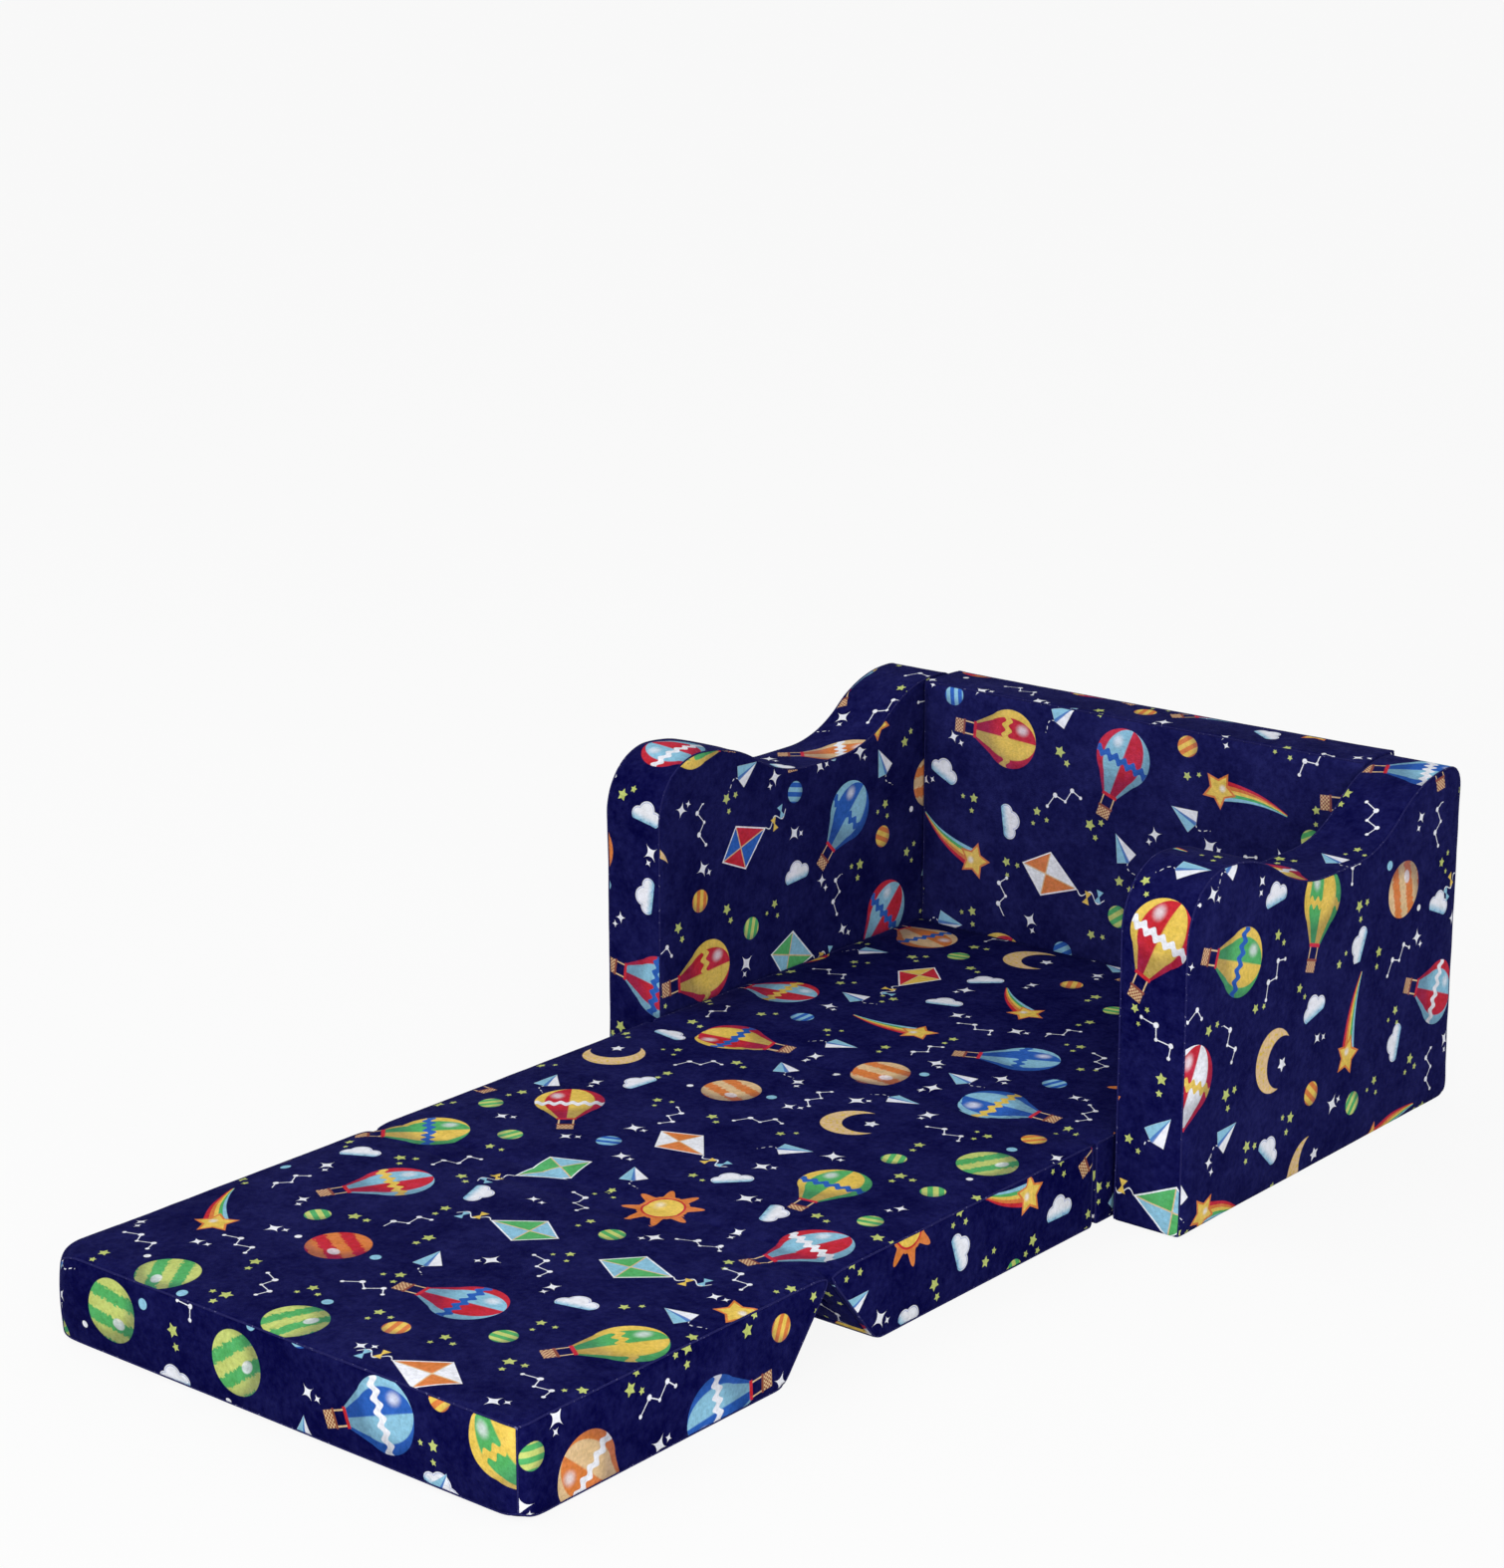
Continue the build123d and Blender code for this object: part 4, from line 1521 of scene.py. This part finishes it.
class SOFA_OT_zip_bands(bpy.types.Operator):
    """Model the soft bands with a zip slot, set in the mitred ends of the seat and the backrest"""

    bl_idname = "sofa.zip_bands"
    bl_label = "Zip bands"

    CELLS = (72, 12)
    SLOT_PLAY = 0.4 * MM
    SLOT_HALF = 5.6 * MM
    SWELL_RUN = 9 * MM  # from an edge of the band to its full height
    SUNK = 1.1 * MM
    SWELL = 0.9 * MM
    THICKNESS = 2.9 * MM
    EDGE_ROUND = 0.7 * MM
    PRINT_SHIFT = (0.47, 0.19)

    def execute(self, context):
        pad = context.scene.sofa_pad
        for name, way in (("seat", 1), ("backrest", -1)):
            self.band(f"{name}_zip_band", f"{name}_panel", f"{name}_zip_tape", pad, way)
        return {"FINISHED"}

    def band(self, node, body, tape, pad, way):
        """One band: a padded slab with a rounded slot, its print laid flat."""
        low, high = box_of(f"{body}_cover")
        tape_high = box_of(tape)[1]
        slope = BACK_HINGE.z / cos(pad.mitre)
        edge_y = low[1] if way > 0 else high[1]
        centre = Vector((0, edge_y + way * BACK_HINGE.z * tan(pad.mitre) / 2, BACK_HINGE.z / 2))
        band_low, band_high = box_of(node)
        width, height = band_high[0] - band_low[0], slope - 2 * pad.band_margin
        piece = flat_grid(f"{node}_plush", width, height, *self.CELLS)
        slot = (tape_high[0] + self.SLOT_PLAY, self.SLOT_HALF)
        bpy.ops.object.mode_set(mode="EDIT")
        for axis, reach in enumerate(slot):
            for sign in (-1, 1):
                normal = [0, 0, 0]
                place = [0, 0, 0]
                normal[axis] = sign
                place[axis] = sign * reach
                bpy.ops.mesh.select_all(action="SELECT")
                bpy.ops.mesh.bisect(plane_co=place, plane_no=normal)
        pick_faces(piece, lambda at, _: abs(at.x) < slot[0] and abs(at.y) < slot[1])
        bpy.ops.mesh.delete(type="FACE")
        bpy.ops.object.mode_set(mode="OBJECT")
        points = points_of(piece)
        rim = np.minimum(width / 2 - abs(points[:, 0]), height / 2 - abs(points[:, 1]))
        lip = np.maximum(abs(points[:, 0]) - slot[0], abs(points[:, 1]) - slot[1])
        swell = np.clip(np.minimum(rim, lip) / self.SWELL_RUN, 0, 1)
        points[:, 2] = self.SWELL * np.sqrt(1 - (1 - swell) ** 2) - self.SUNK
        move_points(piece, points)
        map_flat(piece, (self.PRINT_SHIFT[0], self.PRINT_SHIFT[1] * way))
        apply_modifier(piece, "SOLIDIFY", thickness=self.THICKNESS, offset=-1)
        apply_modifier(piece, "BEVEL", width=self.EDGE_ROUND, segments=2, limit_method="ANGLE")
        piece.data.transform(leaning_plane(centre, pad.mitre, way))
        piece.data.materials.append(plush())
        smooth(piece)
        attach(piece, body)
        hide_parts(node)


class SOFA_OT_zips(bpy.types.Operator):
    """Model the teeth of the three zips, and finish their tapes, stops and sliders"""

    bl_idname = "sofa.zips"
    bl_label = "Zips"

    PITCH = 2 * MM
    TOOTH = (0.9 * MM, 2.4 * MM, 1.3 * MM)
    TOOTH_REACH = 0.75 * MM  # from the middle of the zip to the middle of a tooth
    TOOTH_BEVEL = 0.28 * MM

    def execute(self, context):
        mitre = context.scene.sofa_pad.mitre
        for name, body, lean, way in (
            ("frame", "frame", 0, -1),
            ("seat", "seat_panel", mitre, 1),
            ("backrest", "backrest_panel", mitre, -1),
        ):
            self.teeth(f"{name}_zip_chain", body, lean, way)
            NODES[f"{name}_zip_tape"].material_slots[0].material = zip_tape_stuff()
            for part in ("stops", "slider"):
                NODES[f"{name}_zip_{part}"].material_slots[0].material = zip_metal_stuff()
        return {"FINISHED"}

    def teeth(self, node, body, lean, way):
        """Two rows of teeth that interlock along a zip."""
        low, high = box_of(node)
        count = int((high[0] - low[0]) / self.PITCH)
        rows = []
        for side in (-1, 1):
            bpy.ops.object.select_all(action="DESELECT")
            start = -(count - 1) * self.PITCH / 2 + side * self.PITCH / 4
            place = (start, side * self.TOOTH_REACH, 0)
            bpy.ops.mesh.primitive_cube_add(size=1, location=place, scale=self.TOOTH)
            tooth = bpy.context.object
            bpy.ops.object.transform_apply(location=True, rotation=False, scale=True)
            apply_modifier(tooth, "BEVEL", width=self.TOOTH_BEVEL, segments=1)
            apply_modifier(
                tooth,
                "ARRAY",
                count=count,
                use_relative_offset=False,
                use_constant_offset=True,
                constant_offset_displace=(self.PITCH, 0, 0),
            )
            rows.append(tooth)
        only(rows[0])
        rows[1].select_set(True)
        bpy.ops.object.join()
        piece = rows[0]
        piece.name = piece.data.name = f"{node}_teeth"
        centre = Vector((low + high) / 2)
        piece.data.transform(leaning_plane(centre, lean, way))
        piece.data.materials.append(zip_chain_stuff())
        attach(piece, body)
        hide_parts(node)


class SOFA_OT_hook_and_loop(bpy.types.Operator):
    """Finish the hook strip on the back and the loop strip on the base pad"""

    bl_idname = "sofa.hook_and_loop"
    bl_label = "Hook and loop strips"

    def execute(self, context):
        NODES["hook_strip"].material_slots[0].material = hook_tape_stuff()
        NODES["loop_strip"].material_slots[0].material = loop_tape_stuff()
        return {"FINISHED"}


class SOFA_OT_hinge_strips(bpy.types.Operator):
    """Model the strips of cover cloth that join the pads, draped over the pads' edges"""

    bl_idname = "sofa.hinge_strips"
    bl_label = "Hinge strips"

    HALF_WIDTH = 214.5 * MM
    STEPS_ACROSS = 72
    CELL = 1 * MM
    LIFT = 0.3 * MM  # above the pads' tops at the fold
    EDGE_SINK = 0.8 * MM  # into the pads' tops at the long edges
    END_SINK = 1.2 * MM
    END_RUN = 5 * MM
    SAG_RUN = 12 * MM  # from a short edge to the place where a taut strip no longer sags
    UNDER_FOLD = 0.1 * MM
    THICKNESS = 0.7 * MM
    RAY_START = 0.1
    NOTHING_BELOW = 0.05

    def execute(self, context):
        front = ("base_panel", "seat_panel")
        fold = ("seat_panel", "backrest_panel")
        self.strip(
            "front_hinge", front, "frame", SEAT_HINGE, 9 * MM, bridge=3, pull=0, bend=0.8 * MM
        )
        self.strip("fold", fold, "seat_panel", BACK_HINGE, 15 * MM, bridge=2, pull=1, bend=4 * MM)
        return {"FINISHED"}

    @staticmethod
    def over_gap(run, bridge, summary):
        """Highest or mean height of each point and of its neighbours on both sides."""
        wide = np.pad(run, bridge, mode="edge")
        return summary([wide[step : step + len(run)] for step in range(2 * bridge + 1)], 0)

    def strip(self, name, pads, first_body, hinge, reach, bridge, pull, bend):
        """One strip: it follows the pads' tops, spans the gap and dips in at its edges.

        It reaches this far to both sides of the hinge. The bridge is a number of cells and the
        pull tells how taut the strip lies over the gap. The bend is not used.
        """
        half = self.HALF_WIDTH
        steps = (self.STEPS_ACROSS, round(2 * reach / self.CELL))
        piece = flat_grid(f"{name}_strip", 2 * half, 2 * reach, *steps)
        points = points_of(piece)
        points[:, 1] += hinge.y
        graph = bpy.context.evaluated_depsgraph_get()
        tops = [BVHTree.FromObject(bpy.data.objects[f"{pad}_plush"], graph) for pad in pads]
        heights = np.array([max(self.drop(top, point) for top in tops) for point in points])
        columns = np.unique(points[:, 0].round(6), return_inverse=True)[1]
        for column in range(columns.max() + 1):
            here = np.flatnonzero(columns == column)
            here = here[np.argsort(points[here, 1])]
            taut = np.linspace(heights[here[0]], heights[here[-1]], len(here))
            draped = self.over_gap(self.over_gap(heights[here], bridge, np.max), bridge, np.mean)
            past = abs(points[here[0], 0]) - half + self.SAG_RUN
            sag = np.clip(past / self.SAG_RUN, 0, 1) ** 2
            heights[here] = draped + (taut - draped) * pull * (1 - sag)
        share = np.abs(points[:, 1] - hinge.y) / reach
        end = np.clip((np.abs(points[:, 0]) - half + self.END_RUN) / self.END_RUN, 0, 1)
        points[:, 2] = heights + self.LIFT - self.EDGE_SINK * share**2 - self.END_SINK * end**2
        points[:, 2] = np.minimum(points[:, 2], SEAT_HINGE.z - self.UNDER_FOLD)
        move_points(piece, points)
        map_flat(piece)
        apply_modifier(piece, "SOLIDIFY", thickness=self.THICKNESS, offset=-1)
        piece.data.materials.append(plush())
        smooth(piece)
        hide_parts("front_hinge_seam" if name == "front_hinge" else "fold_seam")
        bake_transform(piece)

    def drop(self, top, point):
        """Height at which a pad lies under a point."""
        hit = top.ray_cast(Vector((point[0], point[1], self.RAY_START)), Vector((0, 0, -1)))[0]
        return hit.z if hit else self.NOTHING_BELOW


def seen_directly(s):
    """1 for rays from the camera, a reflection or glass, and 0 for the light on the object."""
    path = s.node("ShaderNodeLightPath")
    kinds = ("Camera", "Glossy", "Transmission")
    rays = [Wire(s, path.outputs[f"Is {kind} Ray"]) for kind in kinds]
    return rays[0].math("MAXIMUM", rays[1]).math("MAXIMUM", rays[2])


class SOFA_OT_stage(bpy.types.Operator):
    """Set up the pale floor, the soft lights and the camera"""

    bl_idname = "sofa.stage"
    bl_label = "Stage"

    FLOOR_RADIUS = 30
    FLOOR_GREYS = ((0.68, 0.68, 0.68), (0.72, 0.72, 0.72))
    FLOOR_WHITE = 0.9  # how much of the floor is plain white where it is seen directly
    WORLD_LIGHT = 0.58
    WHITE = (1, 1, 1, 1)
    # Name, place, width in metres and power in watts
    LAMPS = (
        ("front", (-0.2, -2.6, 1.9), 1.8, 12),
        ("right", (1.95, -2.25, 1.0), 1.8, 52),
        ("left", (-1.8, -0.9, 2.6), 2.0, 17),
    )
    LAMP_AIM = (0, -0.3, 0.1)
    LENS = 81
    CAMERA_PLACE = (1.5684, -2.2411, 0.9979)
    CAMERA_TURN = (radians(90 - 15.24), 0, radians(39.65))

    def execute(self, context):
        scene = context.scene
        self.floor()
        self.lights(scene)
        self.camera(scene)
        scene.view_settings.view_transform = "Standard"
        return {"FINISHED"}

    def floor(self):
        bpy.ops.object.select_all(action="DESELECT")
        bpy.ops.mesh.primitive_circle_add(vertices=96, radius=self.FLOOR_RADIUS, fill_type="NGON")
        floor = bpy.context.object
        floor.name = "floor"
        floor.location.z = -0.3 * MM
        s = Shader("floor")
        seen = seen_directly(s)
        grey = s.mix(*self.FLOOR_GREYS, s.noise(s.place(), 3, 2))
        matt = s.wire("ShaderNodeBsdfDiffuse", None, {"Color": grey})
        bright = s.wire("ShaderNodeEmission", None, {"Color": self.WHITE, "Strength": 1})
        shares = {0: seen * self.FLOOR_WHITE, 1: matt, 2: bright}
        blend = s.wire("ShaderNodeMixShader", None, shares)
        s.node("ShaderNodeOutputMaterial", None, {"Surface": blend})
        floor.data.materials.append(s.material)

    def lights(self, scene):
        scene.world = bpy.data.worlds.new("studio")
        scene.world.use_nodes = True
        s = Shader(tree=scene.world.node_tree)
        glow, white = (
            s.wire("ShaderNodeBackground", None, {"Color": self.WHITE, "Strength": strength})
            for strength in (self.WORLD_LIGHT, 1)
        )
        both = s.wire("ShaderNodeMixShader", None, {0: seen_directly(s), 1: glow, 2: white})
        s.node("ShaderNodeOutputWorld", None, {"Surface": both})
        for name, place, width, power in self.LAMPS:
            light = bpy.data.lights.new(name, "AREA")
            light.size = width
            light.energy = power
            lamp = bpy.data.objects.new(name, light)
            scene.collection.objects.link(lamp)
            lamp.location = place
            aim = Vector(self.LAMP_AIM) - lamp.location
            lamp.rotation_euler = aim.to_track_quat("-Z", "Y").to_euler()

    def camera(self, scene):
        lens = bpy.data.cameras.new("camera")
        lens.lens = self.LENS
        lens.clip_end = 100
        camera = bpy.data.objects.new("camera", lens)
        scene.collection.objects.link(camera)
        camera.location = self.CAMERA_PLACE
        camera.rotation_euler = self.CAMERA_TURN
        scene.camera = camera


GROUPS = (
    ("sofa_arm", ArmShape),
    ("sofa_pad", PadShape),
    ("sofa_cloth", ClothShape),
    ("sofa_colours", PrintColours),
    ("sofa_print", PrintSizes),
)
STEPS = (
    SOFA_OT_arms,
    SOFA_OT_back,
    SOFA_OT_pads,
    SOFA_OT_base_cloths,
    SOFA_OT_zip_bands,
    SOFA_OT_zips,
    SOFA_OT_hook_and_loop,
    SOFA_OT_hinge_strips,
    SOFA_OT_stage,
)


class SOFA_PT_panel(bpy.types.Panel):
    """Lists the steps that build the sofa bed"""

    bl_label = "Sofa bed"
    bl_idname = "SOFA_PT_panel"
    bl_space_type = "VIEW_3D"
    bl_region_type = "UI"
    bl_category = "Sofa bed"

    def draw(self, context):
        for step in STEPS:
            self.layout.operator(step.bl_idname)
        for name, group in GROUPS:
            box = self.layout.box()
            box.label(text=group.__doc__)
            for prop in group.__annotations__:
                box.prop(getattr(context.scene, name), prop)


CLASSES = (*(group for _, group in GROUPS), *STEPS, SOFA_PT_panel)


def register():
    for made in CLASSES:
        bpy.utils.register_class(made)
    for name, group in GROUPS:
        setattr(bpy.types.Scene, name, PointerProperty(type=group))


def unregister():
    for name, _ in GROUPS:
        delattr(bpy.types.Scene, name)
    for made in reversed(CLASSES):
        bpy.utils.unregister_class(made)


def main():
    """Builds the whole sofa bed."""
    register()
    for step in STEPS:
        group, call = step.bl_idname.split(".")
        getattr(getattr(bpy.ops, group), call)()


if __name__ == "__main__":
    main()
